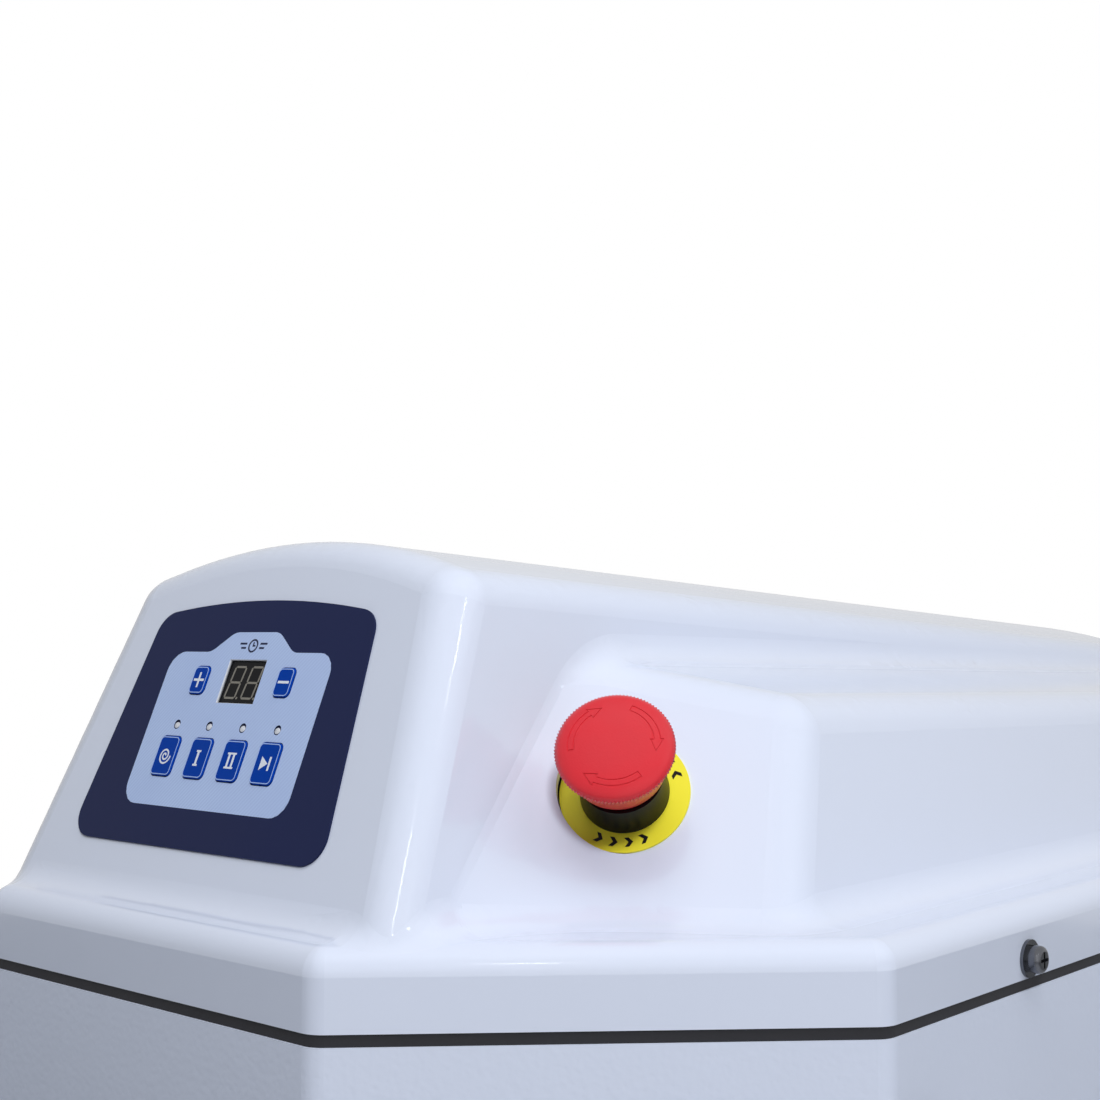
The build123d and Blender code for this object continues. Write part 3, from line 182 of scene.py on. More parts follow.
class GroupMaker:
    """Builds the shader node groups that the finishes share.

    Attributes:
        skin_in: Sockets that go into a group for a skin.
        skin_out: Sockets that come out of it.
    """

    skin_in = {"Vector": "Vector", "Grain": "Float", "Patch": "Float"}
    skin_out = {"Height": "Float", "Mottle": "Float"}

    def __init__(self) -> None:
        """Builds each group once."""
        brushed = self._grain("brush_lines", detail=4.0, cells=0.0)
        self.skins = {Texture.MOULDED: self._grain("moulded_skin", detail=2.0, cells=0.0),
                      Texture.POWDER: self._grain("powder_skin", detail=1.0, cells=0.55),
                      Texture.CAST: self._grain("cast_skin", detail=6.0, cells=0.25),
                      Texture.BRUSHED: brushed, Texture.TURNED: brushed, Texture.STRIPED: self._stripes()}
        self.round_axis = self._round_axis()
        self.tint = self._tint()
        self.rough = self._rough()
        self.soil = self._soil()

    def _new(self, name: str, inputs: dict[str, str], outputs: dict[str, str]) -> tuple:
        """Starts a group with named sockets.

        Args:
            name: Name of the group.
            inputs: Names and types of the sockets going in.
            outputs: Names and types of the sockets going out.

        Returns:
            The tree, the sockets that it is given and its output node.
        """
        tree = bpy.data.node_groups.new(name, "ShaderNodeTree")
        for way, sockets in (("INPUT", inputs), ("OUTPUT", outputs)):
            for label, kind in sockets.items():
                tree.interface.new_socket(label, in_out=way, socket_type="NodeSocket" + kind)
        return tree, tree.nodes.new("NodeGroupInput").outputs, tree.nodes.new("NodeGroupOutput")

    def _grain(self, name: str, detail: float, cells: float) -> Tree:
        """Fine relief with a broad mottle over it.

        Args:
            name: Name of the group.
            detail: Octaves of the fine noise.
            cells: Share of round cells in the relief.

        Returns:
            The group.
        """
        tree, given, end = self._new(name, self.skin_in, self.skin_out)
        near = {"Vector": given["Vector"], "Scale": given["Grain"]}
        far = {"Vector": given["Vector"], "Scale": given["Patch"]}
        fine = add(tree, "TexNoise", {**near, "Detail": detail})
        broad = add(tree, "TexNoise", {**far, "Detail": 3.0})
        cell = add(tree, "TexVoronoi", near, feature="SMOOTH_F1")
        mix = add(tree, "Mix", {"Factor": cells, "A": fine["Fac"], "B": cell["Distance"]})
        feed(tree, end, {"Height": mix["Result"], "Mottle": broad["Fac"]})
        return tree

    def _stripes(self) -> Tree:
        """Fine parallel lines that fade in and out.

        Returns:
            The group.
        """
        tree, given, end = self._new("fine_stripes", self.skin_in, self.skin_out)
        near = {"Vector": given["Vector"], "Scale": given["Grain"]}
        wave = add(tree, "TexWave", near, bands_direction="X", wave_profile="SIN")
        fade = add(tree, "TexNoise", {"Vector": given["Vector"], "Scale": given["Patch"]})
        share = add(tree, "Math", {0: wave["Fac"], 1: fade["Fac"]}, operation="MULTIPLY")
        feed(tree, end, {"Height": wave["Fac"], "Mottle": share["Value"]})
        return tree

    def _round_axis(self) -> Tree:
        """Turns a place into its distance from the upright axis and its height.

        Returns:
            The group.
        """
        tree, given, end = self._new("round_axis", {"Vector": "Vector"}, {"Vector": "Vector"})
        split = add(tree, "SeparateXYZ", {"Vector": given["Vector"]})
        flat = add(tree, "CombineXYZ", {"X": split["X"], "Y": split["Y"]})
        reach = add(tree, "VectorMath", {0: flat["Vector"]}, operation="LENGTH")
        both = add(tree, "CombineXYZ", {"X": reach["Value"], "Y": split["Z"]})
        feed(tree, end, {"Vector": both["Vector"]})
        return tree

    def _tint(self) -> Tree:
        """Swings a colour darker and lighter by the mottle.

        Returns:
            The group.
        """
        inputs = {"Dark": "Color", "Light": "Color", "Mottle": "Float"}
        tree, given, end = self._new("tint_swing", inputs, {"Color": "Color"})
        ends = {"Factor": given["Mottle"], MIX_FIRST: given["Dark"], MIX_SECOND: given["Light"]}
        feed(tree, end, {"Color": add(tree, "Mix", ends, data_type="RGBA")[MIX_RESULT]})
        return tree

    def _rough(self) -> Tree:
        """Swings a roughness by the mottle.

        Returns:
            The group.
        """
        inputs = {"Mottle": "Float", "Low": "Float", "High": "Float"}
        tree, given, end = self._new("rough_swing", inputs, {"Roughness": "Float"})
        ends = {"From Min": 0.3, "From Max": 0.7, "To Min": given["Low"], "To Max": given["High"]}
        remap = add(tree, "MapRange", {"Value": given["Mottle"], **ends})
        feed(tree, end, {"Roughness": remap["Result"]})
        return tree

    def _soil(self) -> Tree:
        """Dust in patches that thins out with the height above the floor.

        Returns:
            The group.
        """
        tree, given, end = self._new("floor_dust", {"Vector": "Vector", "Weight": "Float"}, {"Mask": "Float"})
        split = add(tree, "SeparateXYZ", {"Vector": given["Vector"]})
        fall = add(tree, "MapRange", {"Value": split["Z"], "From Max": 0.2, "To Min": 1.0, "To Max": 0.0})
        patch = add(tree, "TexNoise", {"Vector": given["Vector"], "Scale": 22.0, "Detail": 6.0})
        share = add(tree, "Math", {0: fall["Result"], 1: patch["Fac"]}, operation="MULTIPLY")
        mask = add(tree, "Math", {0: share["Value"], 1: given["Weight"]}, operation="MULTIPLY")
        feed(tree, end, {"Mask": mask["Value"]})
        return tree


class FinishShop:
    """Makes one material for each finish and puts it on pieces."""

    def __init__(self) -> None:
        """Starts with the shared groups and no materials."""
        self.groups = GroupMaker()
        self.made: dict[str, bpy.types.Material] = {}

    def material(self, finish: Finish) -> bpy.types.Material:
        """The material of a finish, made on first use.

        Args:
            finish: The finish.

        Returns:
            Its material.
        """
        if finish.name in self.made:
            return self.made[finish.name]
        material = bpy.data.materials.new(finish.name)
        material.use_nodes = True
        tree = material.node_tree
        turn = [math.radians(angle) for angle in finish.turn]
        pattern = {"Location": finish.centre, "Rotation": turn, "Scale": finish.stretch}
        pattern["Vector"] = add(tree, "TexCoord")["Object"]
        spot = add(tree, "Mapping", pattern, vector_type="TEXTURE")["Vector"]
        if finish.texture is Texture.TURNED:
            spot = self._group(tree, self.groups.round_axis, Vector=spot)["Vector"]
        skin = self._group(tree, self.groups.skins[finish.texture], Vector=spot, Grain=finish.grain,
                           Patch=finish.patch)
        bump = add(tree, "Bump", {"Distance": finish.relief, "Height": skin["Height"]})
        low = max(finish.roughness - finish.swing / 2, LEAST_ROUGHNESS)
        high = min(finish.roughness + finish.swing / 2, 1)
        rough = self._group(tree, self.groups.rough, Mottle=skin["Mottle"], Low=low, High=high)
        feed(tree, tree.nodes["Principled BSDF"], {
            "Base Color": self._colour(tree, finish, skin["Mottle"], spot), "Roughness": rough["Roughness"],
            "Metallic": finish.metallic, "Coat Weight": finish.coat, "Coat Roughness": COAT_ROUGHNESS,
            "Specular IOR Level": finish.specular, "Normal": bump["Normal"]})
        self.made[finish.name] = material
        return material

    def _group(self, tree: Tree, group: Tree, **values: object) -> Sockets:
        """Puts a group into a material's nodes and returns its outputs."""
        return add(tree, "Group", values, node_tree=group)

    def _colour(self, tree: Tree, finish: Finish, mottle: Socket, spot: Socket) -> Socket:
        """Swings a finish's colour by the mottle and lays dust over it where it has any.

        Args:
            tree: The material's nodes.
            finish: The finish.
            mottle: The mottle of its skin.
            spot: The place on the surface.

        Returns:
            The colour.
        """
        dark = [share * (1 - finish.mottle) for share in finish.colour]
        light = [min(share * (1 + finish.mottle), 1) for share in finish.colour]
        tint = self._group(tree, self.groups.tint, Dark=(*dark, 1), Light=(*light, 1), Mottle=mottle)
        if not finish.soil:
            return tint["Color"]
        dust = self._group(tree, self.groups.soil, Vector=spot, Weight=finish.soil)
        ends = {"Factor": dust["Mask"], MIX_FIRST: tint["Color"], MIX_SECOND: (*DUST, 1)}
        return add(tree, "Mix", ends, data_type="RGBA")[MIX_RESULT]

    def paint(self, piece: Piece, finish: Finish) -> None:
        """Gives a piece its finish as its one material."""
        piece.data.materials.clear()
        piece.data.materials.append(self.material(finish))


@dataclass(frozen=True)
class Face:
    """A flat place on the machine that pieces are set on.

    Attributes:
        origin: A point on it.
        across: Direction of its own X.
        normal: Direction out of it.
    """

    origin: Vector
    across: Vector
    normal: Vector

    def matrix(self, lift: float = 0.0) -> Matrix:
        """Places a piece drawn on the XY plane at a height above the face.

        Args:
            lift: The height in metres.

        Returns:
            The placing matrix.
        """
        up = self.normal.cross(self.across).normalized()
        turn = Matrix((self.across, up, self.normal)).transposed().to_4x4()
        return Matrix.Translation(self.origin + self.normal * lift) @ turn

    def local(self, point: Vector) -> Point:
        """The X and Y of a point, measured on the face."""
        inside = self.matrix().inverted() @ point
        return (inside.x, inside.y)


def select_only(piece: Piece) -> None:
    """Makes one piece the only selected and active one.

    Args:
        piece: The piece.
    """
    bpy.ops.object.select_all(action="DESELECT")
    piece.select_set(True)
    bpy.context.view_layer.objects.active = piece


def clean(piece: Piece) -> None:
    """Merges doubled points of a piece and points its faces outwards.

    Args:
        piece: The piece.
    """
    select_only(piece)
    bpy.ops.object.mode_set(mode="EDIT")
    bpy.ops.mesh.select_all(action="SELECT")
    bpy.ops.mesh.remove_doubles(threshold=MERGE_DISTANCE)
    bpy.ops.mesh.normals_make_consistent(inside=False)
    bpy.ops.object.mode_set(mode="OBJECT")


def smooth(piece: Piece, degrees: float) -> None:
    """Shades a piece smooth where its faces meet at less than an angle."""
    select_only(piece)
    bpy.ops.object.shade_smooth_by_angle(angle=math.radians(degrees))


def rounded(points: Loop, radius: float, steps: int = 5) -> Loop:
    """Rounds the corners of a closed outline with arcs.

    Args:
        points: The corners.
        radius: Radius of each corner.
        steps: Points on each arc.

    Returns:
        The rounded outline.
    """
    result: Loop = []
    count = len(points)
    for index, corner in enumerate(points):
        here = Vector(corner)
        back = Vector(points[index - 1]) - here
        ahead = Vector(points[(index + 1) % count]) - here
        half = back.angle(ahead) / 2
        reach = min(radius / math.tan(half), CORNER_SHARE * back.length, CORNER_SHARE * ahead.length)
        start = here + back.normalized() * reach
        end = here + ahead.normalized() * reach
        centre = here + (back.normalized() + ahead.normalized()).normalized() * (reach / math.cos(half))
        first, last = start - centre, end - centre
        for step in range(steps + 1):
            share = step / steps
            arm = first.lerp(last, share).normalized() * first.length
            result.append(tuple(centre + arm))
    return result


def box_loop(x: float, y: float, width: float, height: float, radius: float) -> Loop:
    """A rounded rectangle about a middle point."""
    w, h = width / 2, height / 2
    return rounded([(x - w, y - h), (x + w, y - h), (x + w, y + h), (x - w, y + h)], radius)


def ring_loop(x: float, y: float, radius: float, steps: int = 28) -> Loop:
    """A circle about a middle point."""
    angles = [2 * math.pi * step / steps for step in range(steps)]
    return [(x + radius * math.cos(a), y + radius * math.sin(a)) for a in angles]


def stroke_loop(path: Loop, width: float) -> Loop:
    """The outline of a pen stroke along an open path.

    Args:
        path: Points of the path.
        width: Width of the stroke.

    Returns:
        A closed outline.
    """
    left: Loop = []
    right: Loop = []
    for index, point in enumerate(path):
        before = Vector(path[max(index - 1, 0)])
        after = Vector(path[min(index + 1, len(path) - 1)])
        along = (after - before).normalized() * width / 2
        left.append((point[0] - along.y, point[1] + along.x))
        right.append((point[0] + along.y, point[1] - along.x))
    return left + right[::-1]


def curve_piece(curve: bpy.types.Curve, loops: list) -> Piece:
    """Turns a curve with closed outlines into a mesh piece.

    Args:
        curve: The curve, with its thickness set.
        loops: The outlines, with three numbers for each point.

    Returns:
        The mesh piece, with the curve's name.
    """
    for loop in loops:
        spline = curve.splines.new("POLY")
        spline.points.add(len(loop) - 1)
        for place, point in zip(spline.points, loop):
            place.co = (*point, 1.0)
        spline.use_cyclic_u = True
    piece = bpy.data.objects.new(curve.name, curve)
    bpy.context.scene.collection.objects.link(piece)
    select_only(piece)
    bpy.ops.object.convert(target="MESH")
    return bpy.context.view_layer.objects.active


def flat_piece(name: str, loops: list[Loop], thickness: float, place: Matrix) -> Piece:
    """A thin flat piece with holes, drawn from closed outlines.

    Args:
        name: Name of the piece.
        loops: Outlines; one inside another is a hole.
        thickness: Height of the piece above its plane.
        place: Where its plane goes.

    Returns:
        The mesh piece, with its place in its mesh.
    """
    curve = bpy.data.curves.new(name, "CURVE")
    curve.dimensions = "2D"
    curve.fill_mode = "BOTH"
    curve.extrude = thickness / 2
    piece = curve_piece(curve, [[(x, y, 0.0) for x, y in loop] for loop in loops])
    piece.data.transform(place @ Matrix.Translation((0, 0, thickness / 2)))
    clean(piece)
    return piece


def lathe(name: str, rings: Loop, sides: int, place: Matrix | None = None) -> Piece:
    """A turned piece, pulled up ring by ring from a disc.

    Args:
        name: Name of the piece.
        rings: Radius and height of each ring in metres, from the bottom.
        sides: Sides of each ring.
        place: Where it goes, if not upright about the Z axis.

    Returns:
        The closed mesh piece, with its place in its mesh.
    """
    radius, height = rings[0]
    bpy.ops.object.select_all(action="DESELECT")
    bpy.ops.mesh.primitive_circle_add(vertices=sides, radius=radius, fill_type="NGON",
                                      location=(0, 0, height))
    piece = bpy.context.view_layer.objects.active
    piece.name = name
    bpy.ops.object.transform_apply(location=True, rotation=True, scale=True)
    bpy.ops.object.mode_set(mode="EDIT")
    bpy.ops.mesh.select_all(action="SELECT")
    for (last_radius, last_height), (radius, height) in zip(rings[:-1], rings[1:]):
        grow = radius / last_radius
        bpy.ops.mesh.extrude_region_move(TRANSFORM_OT_translate={"value": (0, 0, height - last_height)})
        bpy.ops.transform.resize(value=(grow, grow, 1), center_override=(0, 0, height))
    bpy.ops.object.mode_set(mode="OBJECT")
    clean(piece)
    if place is not None:
        piece.data.transform(place)
    return piece


def moved(loops: list[Loop], x: float, y: float) -> list[Loop]:
    """Shifts outlines."""
    return [[(px + x, py + y) for px, py in loop] for loop in loops]


def joined(name: str, pieces: list[Piece]) -> Piece:
    """Joins pieces into one with a new name.

    Args:
        name: Name of the result.
        pieces: The pieces.

    Returns:
        The joined piece.
    """
    bpy.ops.object.select_all(action="DESELECT")
    for piece in pieces:
        piece.select_set(True)
    bpy.context.view_layer.objects.active = pieces[0]
    bpy.ops.object.join()
    pieces[0].name = name
    return pieces[0]


def tube(name: str, points: list[Vector], radius: float) -> Piece:
    """A round tube along a closed path.

    Args:
        name: Name of the piece.
        points: Points of the path.
        radius: Radius of the tube.

    Returns:
        The mesh piece.
    """
    curve = bpy.data.curves.new(name, "CURVE")
    curve.dimensions = "3D"
    curve.bevel_depth = radius
    curve.bevel_resolution = 1
    piece = curve_piece(curve, [points])
    clean(piece)
    return piece


@dataclass(frozen=True)
class Pen:
    """Draws the panel's symbols as closed outlines about their middle.

    Attributes:
        width: Width of a stroke.
        corner: Corner radius of a bar.
        reach: Half length of the plus and minus signs.
        tall: Half height of the numerals.
        bar: Thickness of the numerals' bars.
        turns: Turns of the spiral.
        core: Radius at the spiral's start.
        growth: Growth of its radius to its end.
        segment: Width of a display segment.
        digit_half: Half width of a display digit.
        digit_tall: Half height of a display digit.
        gap: Gap between two segments.
        slant: Sideways lean of the digits, as a share of height.
    """

    width: float = 0.95 * MM
    corner: float = 0.1 * MM
    reach: float = 3.0 * MM
    tall: float = 3.0 * MM
    bar: float = 0.7125 * MM
    turns: float = 2.0
    core: float = 0.35 * MM
    growth: float = 3.0 * MM
    segment: float = 0.8 * MM
    digit_half: float = 3.05 * MM
    digit_tall: float = 6.1 * MM
    gap: float = 0.12 * MM
    slant: float = 0.12

    def plus(self) -> list[Loop]:
        """A plus sign.

        Returns:
            Its outlines.
        """
        w, r = self.width / 2, self.reach
        return [[(-w, -r), (w, -r), (w, -w), (r, -w), (r, w), (w, w), (w, r), (-w, r), (-w, w), (-r, w),
                 (-r, -w), (-w, -w)]]

    def minus(self) -> list[Loop]:
        """A minus sign."""
        return [box_loop(0.0, 0.0, 2 * self.reach, self.width, self.corner)]

    def upright(self, half: float, wide: float) -> Loop:
        """An upright block with a wider bar across each end.

        Args:
            half: Half width of the block.
            wide: Half width of its bars.

        Returns:
            Its outline.
        """
        tall, foot = self.tall, self.tall - self.bar
        right = [(wide, -tall), (wide, -foot), (half, -foot), (half, foot), (wide, foot), (wide, tall)]
        return [(-wide, -tall), *right, (-wide, tall), (-wide, foot), (-half, foot), (-half, -foot),
                (-wide, -foot)]

    def one(self) -> list[Loop]:
        """The numeral one with its bars."""
        return [self.upright(self.width * 0.6, self.width * 1.35)]

    def two(self) -> list[Loop]:
        """The numeral two with its bars.

        Returns:
            Its outlines.
        """
        gap, foot = self.width * 0.8, self.tall - self.bar
        hole = [(-gap, -foot), (gap, -foot), (gap, foot), (-gap, foot)]
        return [self.upright(self.width * 1.9, self.width * 2.6), hole]

    def spiral(self) -> list[Loop]:
        """A spiral about its own start.

        Returns:
            Its outlines.
        """
        steps = 56
        path: Loop = []
        for step in range(steps + 1):
            share = step / steps
            reach = self.core + self.growth * share
            angle = 2 * math.pi * self.turns * share
            path.append((reach * math.cos(angle), reach * math.sin(angle)))
        return [stroke_loop(path, self.width * 0.72)]

    def jog(self) -> list[Loop]:
        """A step forward: a triangle against a bar.

        Returns:
            Its outlines.
        """
        t = self.tall * 0.85
        triangle = [(-2.6 * MM, -t), (1.3 * MM, 0.0), (-2.6 * MM, t)]
        return [triangle, box_loop(2.2 * MM, 0.0, self.width, 2 * t, self.corner)]

    def clock(self) -> list[Loop]:
        """A clock face between two pairs of short bars.

        Returns:
            Its outlines.
        """
        w = self.width * 0.34
        hand = [(-w, -w), (1.25 * MM, -w), (1.25 * MM, w), (w, w), (w, 1.5 * MM), (-w, 1.5 * MM)]
        loops = [ring_loop(0.0, 0.0, 2.7 * MM), ring_loop(0.0, 0.0, 2.0 * MM), hand]
        for side in (-1, 1):
            loops.append(box_loop(side * 5.9 * MM, 0.85 * MM, 4.0 * MM, 0.75 * MM, self.corner))
            loops.append(box_loop(side * 5.3 * MM, -0.85 * MM, 2.8 * MM, 0.75 * MM, self.corner))
        return loops

    def digit(self) -> list[Loop]:
        """All seven segments of a digit, with its point.

        Returns:
            Its outlines.
        """
        x, y, half, gap = self.digit_half, self.digit_tall, self.segment / 2, self.gap
        loops: list[Loop] = []
        for level in (-y, 0.0, y):
            a, b = -x + gap, x - gap
            loops.append([(a, level), (a + half, level - half), (b - half, level - half), (b, level),
                          (b - half, level + half), (a + half, level + half)])
        for side in (-x, x):
            for low, high in ((-y + gap, -gap), (gap, y - gap)):
                loops.append([(side, low), (side + half, low + half), (side + half, high - half),
                              (side, high), (side - half, high - half), (side - half, low + half)])
        loops.append(ring_loop(x + 1.3 * MM, -y, 0.5 * MM, 12))
        return [[(px + py * self.slant, py) for px, py in loop] for loop in loops]


def joint(name: str) -> dict:
    """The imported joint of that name."""
    return next(entry for entry in frame["joints"] if entry["name"] == name)


class Sheet(Enum):
    """Thicknesses of the printed layers, in metres."""

    INK = 0.00006
    FIELD = 0.00008


ink = partial(Finish, grain=3000, relief=0.000005)
metal = partial(Finish, relief=0.00001, metallic=1.0)

COVER = Finish("cover_gloss", srgb(219, 227, 246), 0.15, grain=120, relief=0.00003, mottle=0.012, swing=0.05,
               patch=6, coat=0.5)
PAINT = Finish("powder_white", srgb(216, 224, 243), 0.34, Texture.POWDER, grain=420, relief=0.00012,
               mottle=0.02, swing=0.1, patch=5, specular=0.3, soil=0.55)
FILM = Finish("navy_film", srgb(33, 40, 76), 0.5, grain=2600, relief=0.00001, mottle=0.08, patch=14,
              specular=0.1)
FIELD = Finish("light_field", srgb(189, 210, 255), 0.45, Texture.STRIPED, grain=242, relief=0.00001,
               mottle=0.11, patch=30, turn=(0.0, 42.0, 0.0), specular=0.2)
KEY = Finish("key_blue", srgb(6, 62, 164), 0.42, grain=2400, relief=0.00001, mottle=0.06, patch=60,
             specular=0.06)
KEY_LINE = ink("key_line", srgb(168, 196, 248), 0.4, mottle=0.05)
INK = ink("white_ink", srgb(232, 238, 250), 0.5, mottle=0.04)
# Dark navy: print of the timer symbol, and also painted shadow in the lamp holes.
DARK_INK_AND_SHADE = ink("dark_ink", srgb(34, 38, 70), 0.5, mottle=0.06, specular=0.2)
BLACK_INK = ink("black_ink", srgb(22, 22, 24), 0.5, mottle=0.06, specular=0.2)
GLASS = Finish("display_window", srgb(16, 16, 19), 0.2, grain=900, relief=0.000004, mottle=0.1, specular=0.1)
SEGMENT = Finish("unlit_segment", srgb(128, 124, 116), 0.5, grain=2500, relief=0.000004, mottle=0.06)
LAMP = Finish("lamp_lens", srgb(214, 218, 226), 0.3, grain=1500, relief=0.000006, mottle=0.05)
RED = Finish("stop_red", srgb(214, 42, 54), 0.32, grain=1500, relief=0.00005, mottle=0.08, patch=60)
YELLOW = Finish("legend_yellow", srgb(240, 231, 58), 0.42, grain=1800, relief=0.00001, mottle=0.04, patch=50)
BLACK = Finish("black_moulding", srgb(10, 12, 18), 0.36, grain=1500, relief=0.00002, mottle=0.12, patch=50,
               specular=0.15)
SEAL = Finish("seal_strip", srgb(44, 44, 48), 0.75, grain=1400, relief=0.00005, mottle=0.15, patch=60)
RUBBER = Finish("black_rubber", srgb(32, 32, 34), 0.7, grain=1300, relief=0.00004, mottle=0.16, patch=40,
                soil=0.5)
ZINC = metal("zinc_plate", srgb(176, 178, 180), 0.26, Texture.CAST, grain=1800, mottle=0.1, patch=160)
SCREW_STEEL = metal("screw_steel", srgb(112, 114, 120), 0.22, Texture.CAST, grain=1800, mottle=0.12,
                    patch=160)
BOWL_STEEL = metal("spun_steel", srgb(196, 198, 200), 0.26, Texture.TURNED, grain=2400, relief=0.000012,
                   mottle=0.06, patch=30, centre=tuple(joint("bowl_spin")["pos_m"]))
HOOK_STEEL = metal("polished_steel", srgb(204, 205, 206), 0.18, Texture.CAST, grain=240, relief=0.00004,
                   mottle=0.06, patch=26)
ROD_STEEL = metal("polished_rod", srgb(206, 208, 210), 0.16, Texture.BRUSHED, grain=1600, mottle=0.06,
                  patch=40)
ARM_STEEL = metal("brushed_plate", srgb(190, 192, 194), 0.3, Texture.BRUSHED, grain=2200, mottle=0.08,
                  patch=300, stretch=(1.0, 1.0, 20.0))
SHAFT_STEEL = metal("turned_steel", srgb(172, 174, 176), 0.3, Texture.BRUSHED, grain=2400, mottle=0.08,
                    patch=60, stretch=(8.0, 8.0, 1.0))
PRIMER = Finish("grey_primer", srgb(96, 100, 104), 0.55, Texture.POWDER, grain=500, relief=0.0001,
                mottle=0.08)
CASTING = Finish("painted_casting", srgb(82, 88, 96), 0.5, Texture.CAST, grain=380, relief=0.0002, mottle=0.1)
ALLOY = Finish("cast_alloy", srgb(150, 156, 160), 0.42, Texture.CAST, grain=420, relief=0.00015, mottle=0.08,
               metallic=0.7)
BOARD = Finish("circuit_board", srgb(28, 92, 58), 0.45, grain=900, relief=0.00002, mottle=0.15, patch=90)
GREY = Finish("grey_moulding", srgb(150, 152, 154), 0.45, grain=1400, relief=0.00002, mottle=0.05)
FLOOR = Finish("pale_floor", srgb(236, 237, 240), 0.8, grain=300, mottle=0.01)

FINISHED = {
    COVER: ("top_cover",),
    PAINT: ("head_shell", "column_shell", "base_shell", "rear_panel"),
    SEAL: ("cover_seal",),
    FILM: ("control_overlay",),
    KEY: KEYS,
    YELLOW: ("stop_legend",),
    BLACK: ("stop_collar", "stop_nut", "cable_gland", "guard_switch"),
    GREY: ("stop_plunger", "stop_contact_block", "contactors"),
    BOARD: ("control_board",),
    PRIMER: ("electrical_plate", "main_frame", "head_plate"),
    ZINC: ("rear_panel_screws", "frame_bolts", "breaker_bar_nut", "bowl_bolts", "hook_bolts"),
    SCREW_STEEL: ("cover_screws", "cover_spring_washers", "cover_washers"),
    BOWL_STEEL: ("bowl",),
    HOOK_STEEL: ("spiral_hook", "breaker_bar"),
    ROD_STEEL: ("guard_grille", "guard_pivot_pins"),
    ARM_STEEL: ("guard_arms",),
    SHAFT_STEEL: ("bowl_shaft", "spiral_shaft", "motor_shaft", "gearmotor_shaft", "spiral_bearings",
                  "bowl_bearings"),
    CASTING: ("spiral_bearing_housing", "bowl_bearing_housing", "spiral_pulley", "motor_pulley",
              "bowl_pulley", "gearmotor_pulley"),
    RUBBER: ("spiral_seal", "spiral_belts", "bowl_belt"),
    ALLOY: ("spiral_motor", "bowl_gearmotor"),
}


@dataclass
class Maker:
    """Sets finished pieces on the machine.

    Attributes:
        shop: The maker of materials.
    """

    shop: FinishShop

    def settle(self, piece: Piece, body: str, slot: str, finish: Finish) -> None:
        """Paints a piece and lets it ride on a body.

        Args:
            piece: The piece, in place.
            body: The body that carries it.
            slot: The record's material slot; not used.
            finish: Its finish.
        """
        self.shop.paint(piece, finish)
        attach(piece, body)
        LOG.info("%s rides on %s", piece.name, body)


class Dressing(Maker):
    """CAD nodes that keep their shape and get a finish."""

    def build(self) -> None:
        """Puts each finish on its nodes."""
        for finish, nodes in FINISHED.items():
            for node in nodes:
                self.shop.paint(frame["nodes"][node], finish)
                LOG.info("%s is finished in %s", node, finish.name)


